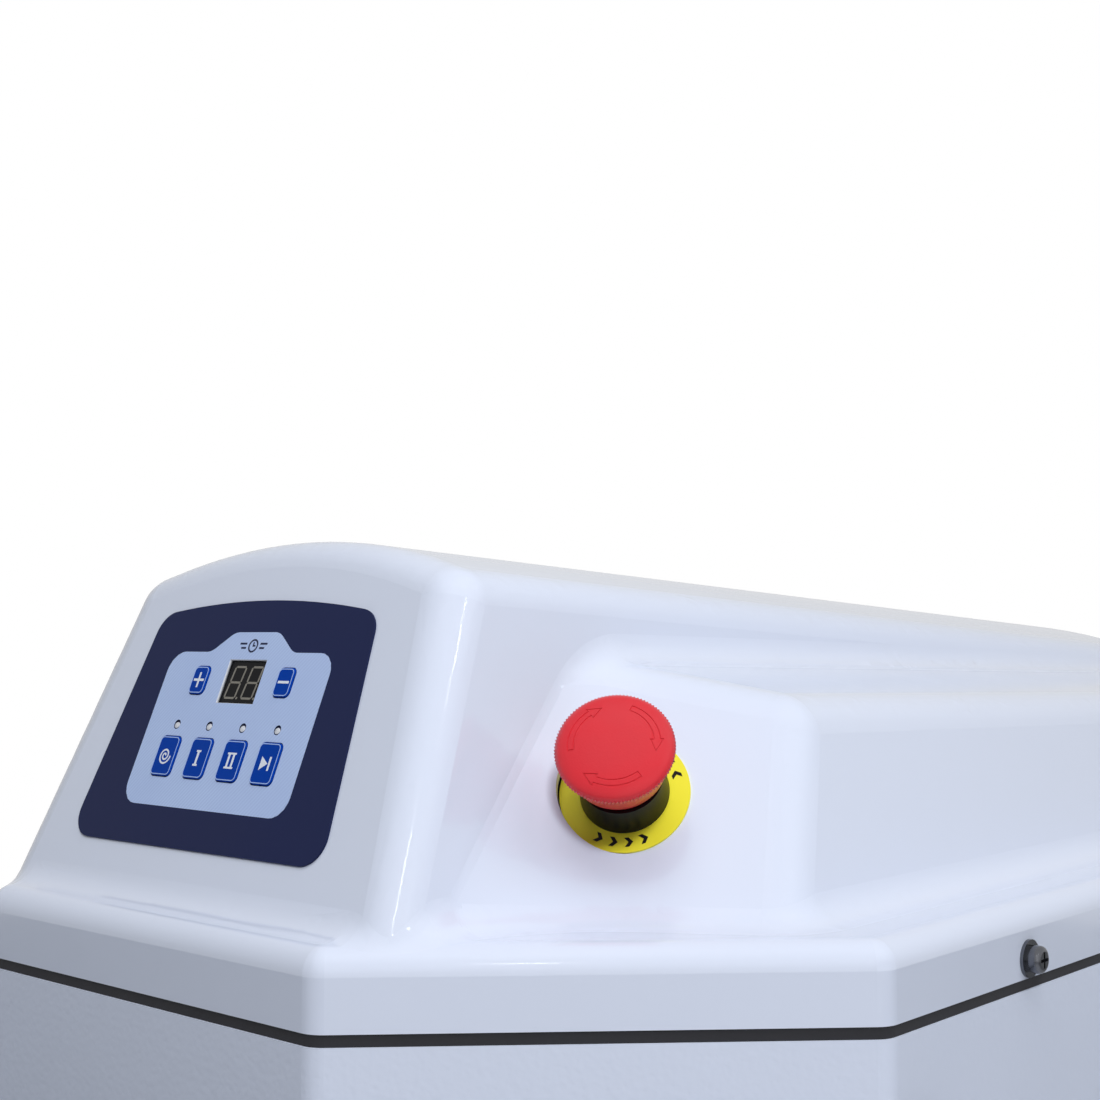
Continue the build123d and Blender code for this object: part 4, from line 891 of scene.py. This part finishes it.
@dataclass
class ControlPanel(Maker):
    """Printed film, keys, display and lamps on the sloped front of the cover.

    Attributes:
        film: Thickness of the panel's film.
        field_half: Half width of the light field.
        field_low: Height of the field's lower edge up the slope, above the film's lower edge.
        field_high: Height of the field's upper edge.
        tab_high: Height of the tab over the display.
        tab_half: Half width of the tab's top.
        tab_foot: Half width of the tab's foot.
        field_radius: Corner radius of the field.
        key_gap: Gap round a key.
        key_rise: Height of a key above the film.
        key_radius: Corner radius of the field's openings for the keys.
        outline: Distance of a key's light outline from its edge.
        line: Width of that outline.
        line_radii: Corner radii of its outer and its inner edge.
        lamp_rise: Distance of a lamp above the middle of its key.
        lamp_hole: Radius of a lamp's hole.
        lamp_radius: Radius of a lamp's dome.
        lamp_shift: Place of the dome from the middle of its hole, set towards the lower left so that the dark
            disc shows as a crescent of painted shadow at the upper right.
        lamp_shade_depth: Thickness of the dark disc under each dome, a painted shadow of the hole's wall.
        sink: Depth of the display window below the film.
        glass: Thickness of that window.
        window_radius: Corner radius of that window.
        liner: Thickness of the pale liner round it.
        digit_step: Distance between the two digits.
    """

    film: float = 0.8 * MM
    field_half: float = 47.5 * MM
    field_low: float = 14.6 * MM
    field_high: float = 75.2 * MM
    tab_high: float = 83.2 * MM
    tab_half: float = 13.0 * MM
    tab_foot: float = 24.0 * MM
    field_radius: float = 8.0 * MM
    key_gap: float = 0.35 * MM
    key_rise: float = 0.7 * MM
    key_radius: float = 2.5 * MM
    outline: float = 0.38 * MM
    line: float = 0.32 * MM
    line_radii: Point = (1.7 * MM, 1.4 * MM)
    lamp_rise: float = 12.5 * MM
    lamp_hole: float = 1.85 * MM
    lamp_radius: float = 1.5 * MM
    lamp_shift: Point = (-0.4 * MM, -0.45 * MM)
    lamp_shade_depth: float = 0.3 * MM
    sink: float = 1.2 * MM
    glass: float = 2.0 * MM
    window_radius: float = 0.2 * MM
    liner: float = 0.16 * MM
    digit_step: float = 9.8 * MM

    def __post_init__(self) -> None:
        """Finds the panel's plane from the frame."""
        out = -Vector(joint("key_plus_press")["axis"])
        low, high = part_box("control_overlay")
        origin = Vector(((low.x + high.x) / 2, low.y - self.film * out.y, low.z))
        self.face = Face(origin, Vector((1, 0, 0)), out)

    def node_box(self, node: str) -> tuple[float, float, float, float]:
        """Middle and size of a key or of the display on the panel.

        Args:
            node: The CAD node.

        Returns:
            X, Y, width and height on the panel's plane.
        """
        low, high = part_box(node)
        x, y = self.face.local((low + high) / 2)
        out = self.face.normal
        up = out.cross(self.face.across)
        size = high - low
        rise = (size.z * abs(out.y) - size.y * out.z) / (up.z * abs(out.y) - up.y * out.z)
        return x, y, high.x - low.x, rise

    def build(self) -> None:
        """Makes and places all that is printed or set on the panel."""
        self.print_field()
        self.print_keys()
        self.print_timer()
        self.set_display()
        self.set_lamps()

    def lamp_places(self) -> Loop:
        """Middle of each lamp, over the keys of the lower row."""
        rows = [self.node_box(key) for key in KEYS[2:]]
        return [(x, y + self.lamp_rise) for x, y, _, _ in rows]

    def print_field(self) -> None:
        """Prints the light field with its tab, open at the keys, the lamps and the display."""
        right = [(self.field_half, self.field_low), (self.field_half, self.field_high),
                 (self.tab_foot, self.field_high), (self.tab_half, self.tab_high)]
        left = [(-x, y) for x, y in right]
        loops = [rounded([left[0], *right, *left[:0:-1]], self.field_radius)]
        for key in KEYS:
            x, y, width, height = self.node_box(key)
            gap = 2 * self.key_gap
            loops.append(box_loop(x, y, width + gap, height + gap, self.key_radius))
        loops += [ring_loop(x, y, self.lamp_hole) for x, y in self.lamp_places()]
        loops.append(box_loop(*self.node_box("digit_display"), self.window_radius))
        piece = flat_piece("panel_field", loops, Sheet.FIELD.value, self.face.matrix(self.film))
        self.settle(piece, "machine", "panel_film", FIELD)

    def print_keys(self) -> None:
        """Prints a light outline and a symbol on each key."""
        pen = Pen()
        symbols = {"key_plus": pen.plus(), "key_minus": pen.minus(), "key_stir": pen.spiral(),
                   "key_speed_one": pen.one(), "key_speed_two": pen.two(), "key_jog": pen.jog()}
        top = self.face.matrix(self.film + self.key_rise)
        for key, symbol in symbols.items():
            x, y, width, height = self.node_box(key)
            outer = 2 * self.outline
            inner = outer + 2 * self.line
            loops = [box_loop(x, y, width - outer, height - outer, self.line_radii[0]),
                     box_loop(x, y, width - inner, height - inner, self.line_radii[1])]
            edge = flat_piece(key + "_outline", loops, Sheet.INK.value, top)
            self.settle(edge, key + "_body", "key_blue", KEY_LINE)
            mark = flat_piece(key + "_symbol", moved(symbol, x, y), Sheet.INK.value, top)
            self.settle(mark, key + "_body", "key_blue", INK)

    def print_timer(self) -> None:
        """Prints a clock between short bars in the tab over the display."""
        x, y, _, height = self.node_box("digit_display")
        rise = (self.tab_high + y + height / 2) / 2
        place = self.face.matrix(self.film + Sheet.FIELD.value)
        piece = flat_piece("timer_symbol", moved(Pen().clock(), x, rise), Sheet.INK.value, place)
        self.settle(piece, "machine", "panel_film", DARK_INK_AND_SHADE)

    def set_display(self) -> None:
        """Sinks the dark window a little below the film, inside a pale liner."""
        x, y, width, height = self.node_box("digit_display")
        place = self.face.matrix(self.film - self.sink - self.glass)
        edge = box_loop(x, y, width, height, self.window_radius)
        window = flat_piece("display_window", [edge], self.glass, place)
        self.settle(window, "machine", "display_dark", GLASS)
        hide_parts("digit_display")
        wall = 2 * self.liner
        inside = box_loop(x, y, width - wall, height - wall, self.window_radius)
        place = self.face.matrix(self.film - self.sink)
        liner = flat_piece("display_liner", [edge, inside], self.sink, place)
        self.settle(liner, "machine", "display_dark", LAMP)
        digits: list[Loop] = []
        for side in (-1, 1):
            digits += moved(Pen().digit(), x + side * self.digit_step / 2, y)
        marks = flat_piece("display_digits", digits, Sheet.INK.value, place)
        self.settle(marks, "machine", "display_dark", SEGMENT)

    def set_lamps(self) -> None:
        """Sets a low pale dome over a dark disc in each lamp's hole; the disc is painted shadow of the hole's
        wall.
        """
        shade_discs: list[Piece] = []
        domes: list[Piece] = []
        profile = [(1.0, 0.1), (1.0, 0.4), (0.93, 0.58), (0.75, 0.73), (0.4, 0.83), (0.1, 0.86)]
        rings = [(share * self.lamp_radius, height * MM) for share, height in profile]
        # The dome sits off to the lower left, so a crescent of the dark disc shows at the upper right as
        # painted shadow.
        right, up = self.lamp_shift
        for number, (x, y) in enumerate(self.lamp_places()):
            floor = [ring_loop(x, y, self.lamp_hole)]
            shade_discs.append(flat_piece(f"cup_{number}", floor, self.lamp_shade_depth, self.face.matrix()))
            place = self.face.matrix() @ Matrix.Translation((x + right, y + up, 0.0))
            domes.append(lathe(f"dome_{number}", rings, sides=24, place=place))
        # Dark discs under the domes: painted shadow in the lamp holes.
        shade_disc = joined("lamp_painted_shade", shade_discs)
        self.settle(shade_disc, "machine", "panel_film", DARK_INK_AND_SHADE)
        dome = joined("lamp_domes", domes)
        smooth(dome, degrees=40)
        self.settle(dome, "machine", "lamp_lens", LAMP)
        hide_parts("status_lights")


@dataclass
class StopButton(Maker):
    """Red mushroom head with its serrated rim and turning arrows, on a marked yellow disc.

    Attributes:
        sides: Sides of the turned head, two for each tooth of the rim.
        tooth: Depth of the rim's teeth.
        rim_low: Height under the rim's teeth.
        rim_high: Height over the rim's teeth.
        dome_low: Height under the domed top.
        groove: Radius of the engraved line of the arrows.
        arrows: Count of the arrows.
        arrow_turn: Angle of the first arrow's tail in degrees.
        arrow_inner: Distance of an arrow's inner edge from the axis.
        arrow_outer: Distance of its outer edge.
        barb: Reach of its barbs past those edges.
        sweep: Angle along its shaft in degrees.
        tip: Angle along its head in degrees.
        legend: Thickness of the yellow disc.
        mark_reach: Distance of the disc's marks from the axis.
        rows: First angle, step and count of the disc's rows of marks, in degrees.
    """

    sides: int = 204
    tooth: float = 0.65 * MM
    rim_low: float = 30.4 * MM
    rim_high: float = 32.35 * MM
    dome_low: float = 32.8 * MM
    groove: float = 0.3 * MM
    arrows: int = 3
    arrow_turn: float = -50.0
    arrow_inner: float = 13.2 * MM
    arrow_outer: float = 15.2 * MM
    barb: float = 1.1 * MM
    sweep: float = 62.0
    tip: float = 18.0
    legend: float = 0.8 * MM
    mark_reach: float = 18.8 * MM
    rows: tuple[tuple[int, int, int], ...] = ((-114, 16, 4), (22, 17, 9))

    def __post_init__(self) -> None:
        """Finds the button's axis from the frame and sets the head's profile."""
        twist = joint("stop_twist")
        out = -Vector(twist["axis"])
        across = Vector((-out.y, out.x, 0)).normalized()
        self.face = Face(Vector(twist["pos_m"]), across, out)
        stem = [(12.6, 7.2), (12.8, 8.0), (12.8, 17.9), (15.2, 18.3), (16.0, 19.4)]
        cone = [(17.2, 23.6), (18.2, 27.8), (18.9, 30.1)]
        rim = [(20.0, 30.7), (20.15, 32.2), (19.55, 32.5)]
        dome = [(19.3, 33.0), (18.8, 33.5), (18.0, 33.95), (16.9, 34.35), (15.5, 34.65), (13.5, 34.95),
                (11.0, 35.2), (8.0, 35.4), (5.0, 35.5), (2.0, 35.55)]
        self.rings: Loop = [(radius * MM, height * MM) for radius, height in stem + cone + rim + dome]

    def build(self) -> None:
        """Makes the head and the disc's marks."""
        head = lathe("stop_head_red", self.rings, self.sides)
        self.cut_teeth(head)
        for number in range(self.arrows):
            self.engrave(head, math.radians(self.arrow_turn) + 2 * math.pi * number / self.arrows)
        head.data.transform(self.face.matrix())
        smooth(head, degrees=35)
        self.settle(head, "stop_head", "stop_red", RED)
        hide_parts("stop_button")
        self.mark_legend()

    def cut_teeth(self, head: Piece) -> None:
        """Pulls every other point of the rim inwards.

        Args:
            head: The head, about the Z axis.
        """
        for vertex in head.data.vertices:
            turn = math.atan2(vertex.co.y, vertex.co.x) / (2 * math.pi) * self.sides
            if self.rim_low < vertex.co.z < self.rim_high and round(turn) % 2:
                reach = math.hypot(vertex.co.x, vertex.co.y)
                vertex.co.x *= 1 - self.tooth / reach
                vertex.co.y *= 1 - self.tooth / reach

    def dome_height(self, reach: float) -> float:
        """Height of the domed top at a distance from the axis.

        Args:
            reach: The distance.

        Returns:
            The height.
        """
        for (wide, low), (narrow, high) in zip(self.rings[:-1], self.rings[1:]):
            if low > self.dome_low and narrow <= reach <= wide:
                return low + (high - low) * (wide - reach) / (wide - narrow)
        return self.rings[-1][1]

    def arrow(self, start: float) -> list[Vector]:
        """Outline of a turning arrow, drawn on the domed top.

        Args:
            start: Angle of the arrow's tail.

        Returns:
            Its points.
        """
        inner, outer, steps = self.arrow_inner, self.arrow_outer, 14
        sweep = math.radians(self.sweep)
        arc = [start - sweep * step / steps for step in range(steps + 1)]
        end = arc[-1]
        polar = [(outer, angle) for angle in arc]
        point = ((inner + outer) / 2, end - math.radians(self.tip))
        polar += [(outer + self.barb, end), point, (inner - self.barb, end)]
        polar += [(inner, angle) for angle in reversed(arc)]
        return [Vector((r * math.cos(a), r * math.sin(a), self.dome_height(r))) for r, a in polar]

    def engrave(self, head: Piece, start: float) -> None:
        """Cuts the outline of one arrow into the head.

        Args:
            head: The head, about the Z axis.
            start: Angle of the arrow's tail.
        """
        cutter = tube("arrow_cutter", self.arrow(start), self.groove)
        select_only(head)
        cut = head.modifiers.new("engrave", "BOOLEAN")
        cut.operation = "DIFFERENCE"
        cut.solver = "EXACT"
        cut.object = cutter
        bpy.ops.object.modifier_apply(modifier=cut.name)
        bpy.data.objects.remove(cutter)

    def mark_legend(self) -> None:
        """Prints chevrons round the yellow disc, a short row in front and a long one behind."""
        angles = [math.radians(first + gap * step)
                  for first, gap, count in self.rows for step in range(count)]
        chevron = [(-1.5, -1.7), (0.0, -1.7), (1.5, 0.0), (0.0, 1.7), (-1.5, 1.7), (-0.1, 0.0)]
        loops: list[Loop] = []
        for angle in angles:
            out = Vector((math.cos(angle), math.sin(angle)))
            along = Vector((-out.y, out.x))
            points = [out * (self.mark_reach + y * MM) + along * x * MM for x, y in chevron]
            loops.append([tuple(point) for point in points])
        piece = flat_piece("legend_marks", loops, Sheet.INK.value, self.face.matrix(self.legend))
        self.settle(piece, "machine", "legend_yellow", BLACK_INK)


@dataclass
class LevellingFeet(Maker):
    """Ribbed rubber feet on threaded studs, each with a lock nut.

    Attributes:
        sole: Height under which the CAD feet show where they stand.
        pad_radius: Radius of a rubber foot.
        pad_height: Height of a rubber foot.
        stud_radius: Radius of a stud over its thread.
        stud_top: Height of a stud's upper end.
        pitch: Distance between two turns of the thread.
        thread: Depth of the thread.
        nut_low: Height of the lock nut's lower face.
        nut_high: Height of its upper face.
        nut_radius: Radius of the nut over its corners.
        nut_edge: Width of the nut's bevelled edges.
    """

    sole: float = 0.5 * MM
    pad_radius: float = 26.0 * MM
    pad_height: float = 22.0 * MM
    stud_radius: float = 6.0 * MM
    stud_top: float = 62.0 * MM
    pitch: float = 2.0 * MM
    thread: float = 0.6 * MM
    nut_low: float = 23.0 * MM
    nut_high: float = 32.0 * MM
    nut_radius: float = 11.0 * MM
    nut_edge: float = 0.7 * MM

    def places(self) -> list[Vector]:
        """Middle of each foot on the floor, read from the CAD feet.

        Returns:
            The four middles.
        """
        mesh = frame["nodes"]["levelling_feet"].data
        low = [vertex.co for vertex in mesh.vertices if vertex.co.z < self.sole]
        found: list[Vector] = []
        for left in (False, True):
            for front in (False, True):
                mine = [co for co in low if (co.x < 0) == left and (co.y < 0) == front]
                xs = [co.x for co in mine]
                ys = [co.y for co in mine]
                found.append(Vector(((min(xs) + max(xs)) / 2, (min(ys) + max(ys)) / 2, 0)))
        return found

    def build(self) -> None:
        """Makes the feet and sets them under the base."""
        places = [Matrix.Translation(place) for place in self.places()]
        kinds = {"rubber": (self.pad_rings(), 64), "stud": (self.stud_rings(), 24),
                 "nut": (self.nut_rings(), 6)}
        made: dict[str, list[Piece]] = {}
        for kind, (rings, sides) in kinds.items():
            made[kind] = [lathe(f"foot_{kind}_{number}", rings, sides, place)
                          for number, place in enumerate(places)]
        for nut in made["nut"]:
            self.bevel(nut)
        pad = joined("foot_rubbers", made["rubber"])
        smooth(pad, degrees=40)
        self.settle(pad, "machine", "black_rubber", RUBBER)
        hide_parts("levelling_feet")
        studs = joined("foot_studs", made["stud"] + made["nut"])
        smooth(studs, degrees=25)
        self.settle(studs, "machine", "zinc_fastener", ZINC)

    def pad_rings(self) -> Loop:
        """Profile of a rubber foot: three ribs round its pad, then a cone up to the stud.

        Returns:
            Radius and height of each ring.
        """
        shares = [(0.93, 0.0), (0.985, 0.04), (1.0, 0.1)]
        for step in range(1, 4):
            level = 0.02 + 0.12 * step
            shares += [(1.0, level), (0.965, level + 0.02), (0.965, level + 0.04), (1.0, level + 0.06)]
        shares += [(1.0, 0.5), (0.97, 0.545), (0.9, 0.57), (0.6, 0.6), (0.54, 0.66), (0.42, 0.95),
                   (0.38, 1.0), (0.1, 1.0)]
        return [(self.pad_radius * reach, self.pad_height * level) for reach, level in shares]

    def stud_rings(self) -> Loop:
        """Profile of a threaded stud, from inside its rubber foot to its upper end.

        Returns:
            Radius and height of each ring.
        """
        core = self.stud_radius - self.thread
        rings: Loop = [(core, self.pad_height * 0.9)]
        level = self.pad_height * 0.95
        while level + self.pitch < self.stud_top:
            rings += [(core, level), (self.stud_radius, level + 0.4 * self.pitch),
                      (self.stud_radius, level + 0.6 * self.pitch)]
            level += self.pitch
        return rings + [(core, self.stud_top), (self.stud_radius * 0.1, self.stud_top)]

    def nut_rings(self) -> Loop:
        """Lower and upper ring of a lock nut."""
        return [(self.nut_radius, self.nut_low), (self.nut_radius, self.nut_high)]

    def bevel(self, nut: Piece) -> None:
        """Bevels the edges of a lock nut.

        Args:
            nut: The nut.
        """
        select_only(nut)
        edges = nut.modifiers.new("edges", "BEVEL")
        edges.width = self.nut_edge
        edges.segments = 2
        bpy.ops.object.modifier_apply(modifier=edges.name)


@dataclass(frozen=True)
class SoftLight:
    """A square soft light.

    Attributes:
        name: Name of the light.
        place: Where it hangs.
        side: Side of the square in metres.
        power: Power in watts.
        glints: Whether glossy surfaces mirror it.
    """

    name: str
    place: Triple
    side: float
    power: float
    glints: bool = False


LIGHTS = (SoftLight("key", (1.27, -1.30, 1.87), 0.25, 16.4),
          SoftLight("over_right", (1.3, 0.3, 2.3), 1.4, 14.2),
          SoftLight("over_front", (0.5, -0.8, 2.45), 1.0, 12.2),
          SoftLight("right_low", (1.8, -1.3, 1.0), 1.8, 2.9, glints=True),
          SoftLight("back_left", (-1.7, 1.7, 1.7), 1.8, 6.0),
          SoftLight("back_fill", (-1.2, 2.0, 1.1), 1.5, 14.0),
          SoftLight("glint_side", (1.69, -0.50, 1.99), 0.1, 0.4, glints=True),
          SoftLight("glint_front", (1.34, -1.32, 1.92), 0.1, 0.4, glints=True))


@dataclass
class Studio:
    """Camera, floor and light.

    Attributes:
        eye: Where the camera stands, from the foot of the stop button.
        heading: Turn of the camera about Z in degrees, from +Y towards -X.
        tilt: Upward tilt of the camera in degrees.
        sensor: Width of the camera's picture in millimetres.
        lens: Focal length for that width, in millimetres.
        floor_size: Side of the floor in metres.
        ambient: Strength of the light from all round.
        mirrored: Strength of the white that glossy surfaces show.
        shade: Colour of the light from all round.
        aim: The point that the lights look at.
    """

    eye: Triple = (0.3547, -0.4392, 0.0540)
    heading: float = 41.53
    tilt: float = 2.99
    sensor: float = 36.0
    lens: float = 53.49
    floor_size: float = 8.0
    ambient: float = 0.04
    mirrored: float = 0.7
    shade: Colour = (0.66, 0.84, 1.0)
    aim: Triple = (0.12, -0.12, 0.76)

    def build(self, shop: FinishShop) -> None:
        """Sets the whole studio up with the shop's materials.

        Args:
            shop: The maker of materials.
        """
        self.camera()
        self.floor(shop)
        self.world()
        for light in LIGHTS:
            self.hang(light)
        bpy.context.scene.view_settings.view_transform = "Standard"

    def camera(self) -> None:
        """Stands the camera where the photograph was taken from."""
        data = bpy.data.cameras.new("camera")
        data.lens = self.lens
        data.sensor_width = self.sensor
        data.clip_start = 10 * MM
        camera = bpy.data.objects.new("camera", data)
        camera.location = Vector(joint("stop_twist")["pos_m"]) + Vector(self.eye)
        camera.rotation_euler = (math.radians(90 + self.tilt), 0.0, math.radians(self.heading))
        bpy.context.scene.collection.objects.link(camera)
        bpy.context.scene.camera = camera

    def floor(self, shop: FinishShop) -> None:
        """Lays a pale floor under the feet.

        Args:
            shop: The maker of materials.
        """
        bpy.ops.object.select_all(action="DESELECT")
        bpy.ops.mesh.primitive_plane_add(size=self.floor_size, location=(0, 0, 0))
        floor = bpy.context.view_layer.objects.active
        floor.name = "floor"
        shop.paint(floor, FLOOR)

    def world(self) -> None:
        """White all round to the eye and in reflections, soft fill to the surfaces."""
        world = bpy.data.worlds.new("studio")
        bpy.context.scene.world = world
        world.use_nodes = True
        tree = world.node_tree
        background = tree.nodes["Background"]
        path = add(tree, "LightPath")
        reflected = self.highest(tree, path["Is Glossy Ray"], path["Is Transmission Ray"])
        seen = path["Is Camera Ray"]
        white = self.highest(tree, seen, reflected)
        direct = add(tree, "MapRange", {"Value": seen, "To Min": self.ambient, "To Max": 1.0})
        mirror = add(tree, "MapRange", {"Value": reflected, "To Min": 0.0, "To Max": self.mirrored})
        ends = {"Factor": white, MIX_FIRST: (*self.shade, 1), MIX_SECOND: (1, 1, 1, 1)}
        colour = add(tree, "Mix", ends, data_type="RGBA")
        strength = self.highest(tree, direct["Result"], mirror["Result"])
        feed(tree, background, {"Color": colour[MIX_RESULT], "Strength": strength})

    def highest(self, tree: Tree, first: Socket, second: Socket) -> Socket:
        """The higher of two values in the world's nodes."""
        return add(tree, "Math", {0: first, 1: second}, operation="MAXIMUM")["Value"]

    def hang(self, light: SoftLight) -> None:
        """Hangs a light and points it at the head.

        Args:
            light: The light.
        """
        data = bpy.data.lights.new(light.name, "AREA")
        data.size = light.side
        data.energy = light.power
        lamp = bpy.data.objects.new(light.name, data)
        lamp.location = light.place
        lamp.rotation_euler = (Vector(self.aim) - Vector(light.place)).to_track_quat("-Z", "Y").to_euler()
        lamp.visible_glossy = light.glints
        bpy.context.scene.collection.objects.link(lamp)


def main() -> None:
    """Builds the looks of the whole machine."""
    logging.basicConfig(level=logging.INFO, format="%(message)s")
    shop = FinishShop()
    Studio().build(shop)
    for maker in (Dressing, ControlPanel, StopButton, LevellingFeet):
        maker(shop).build()


if __name__ == "__main__":
    main()
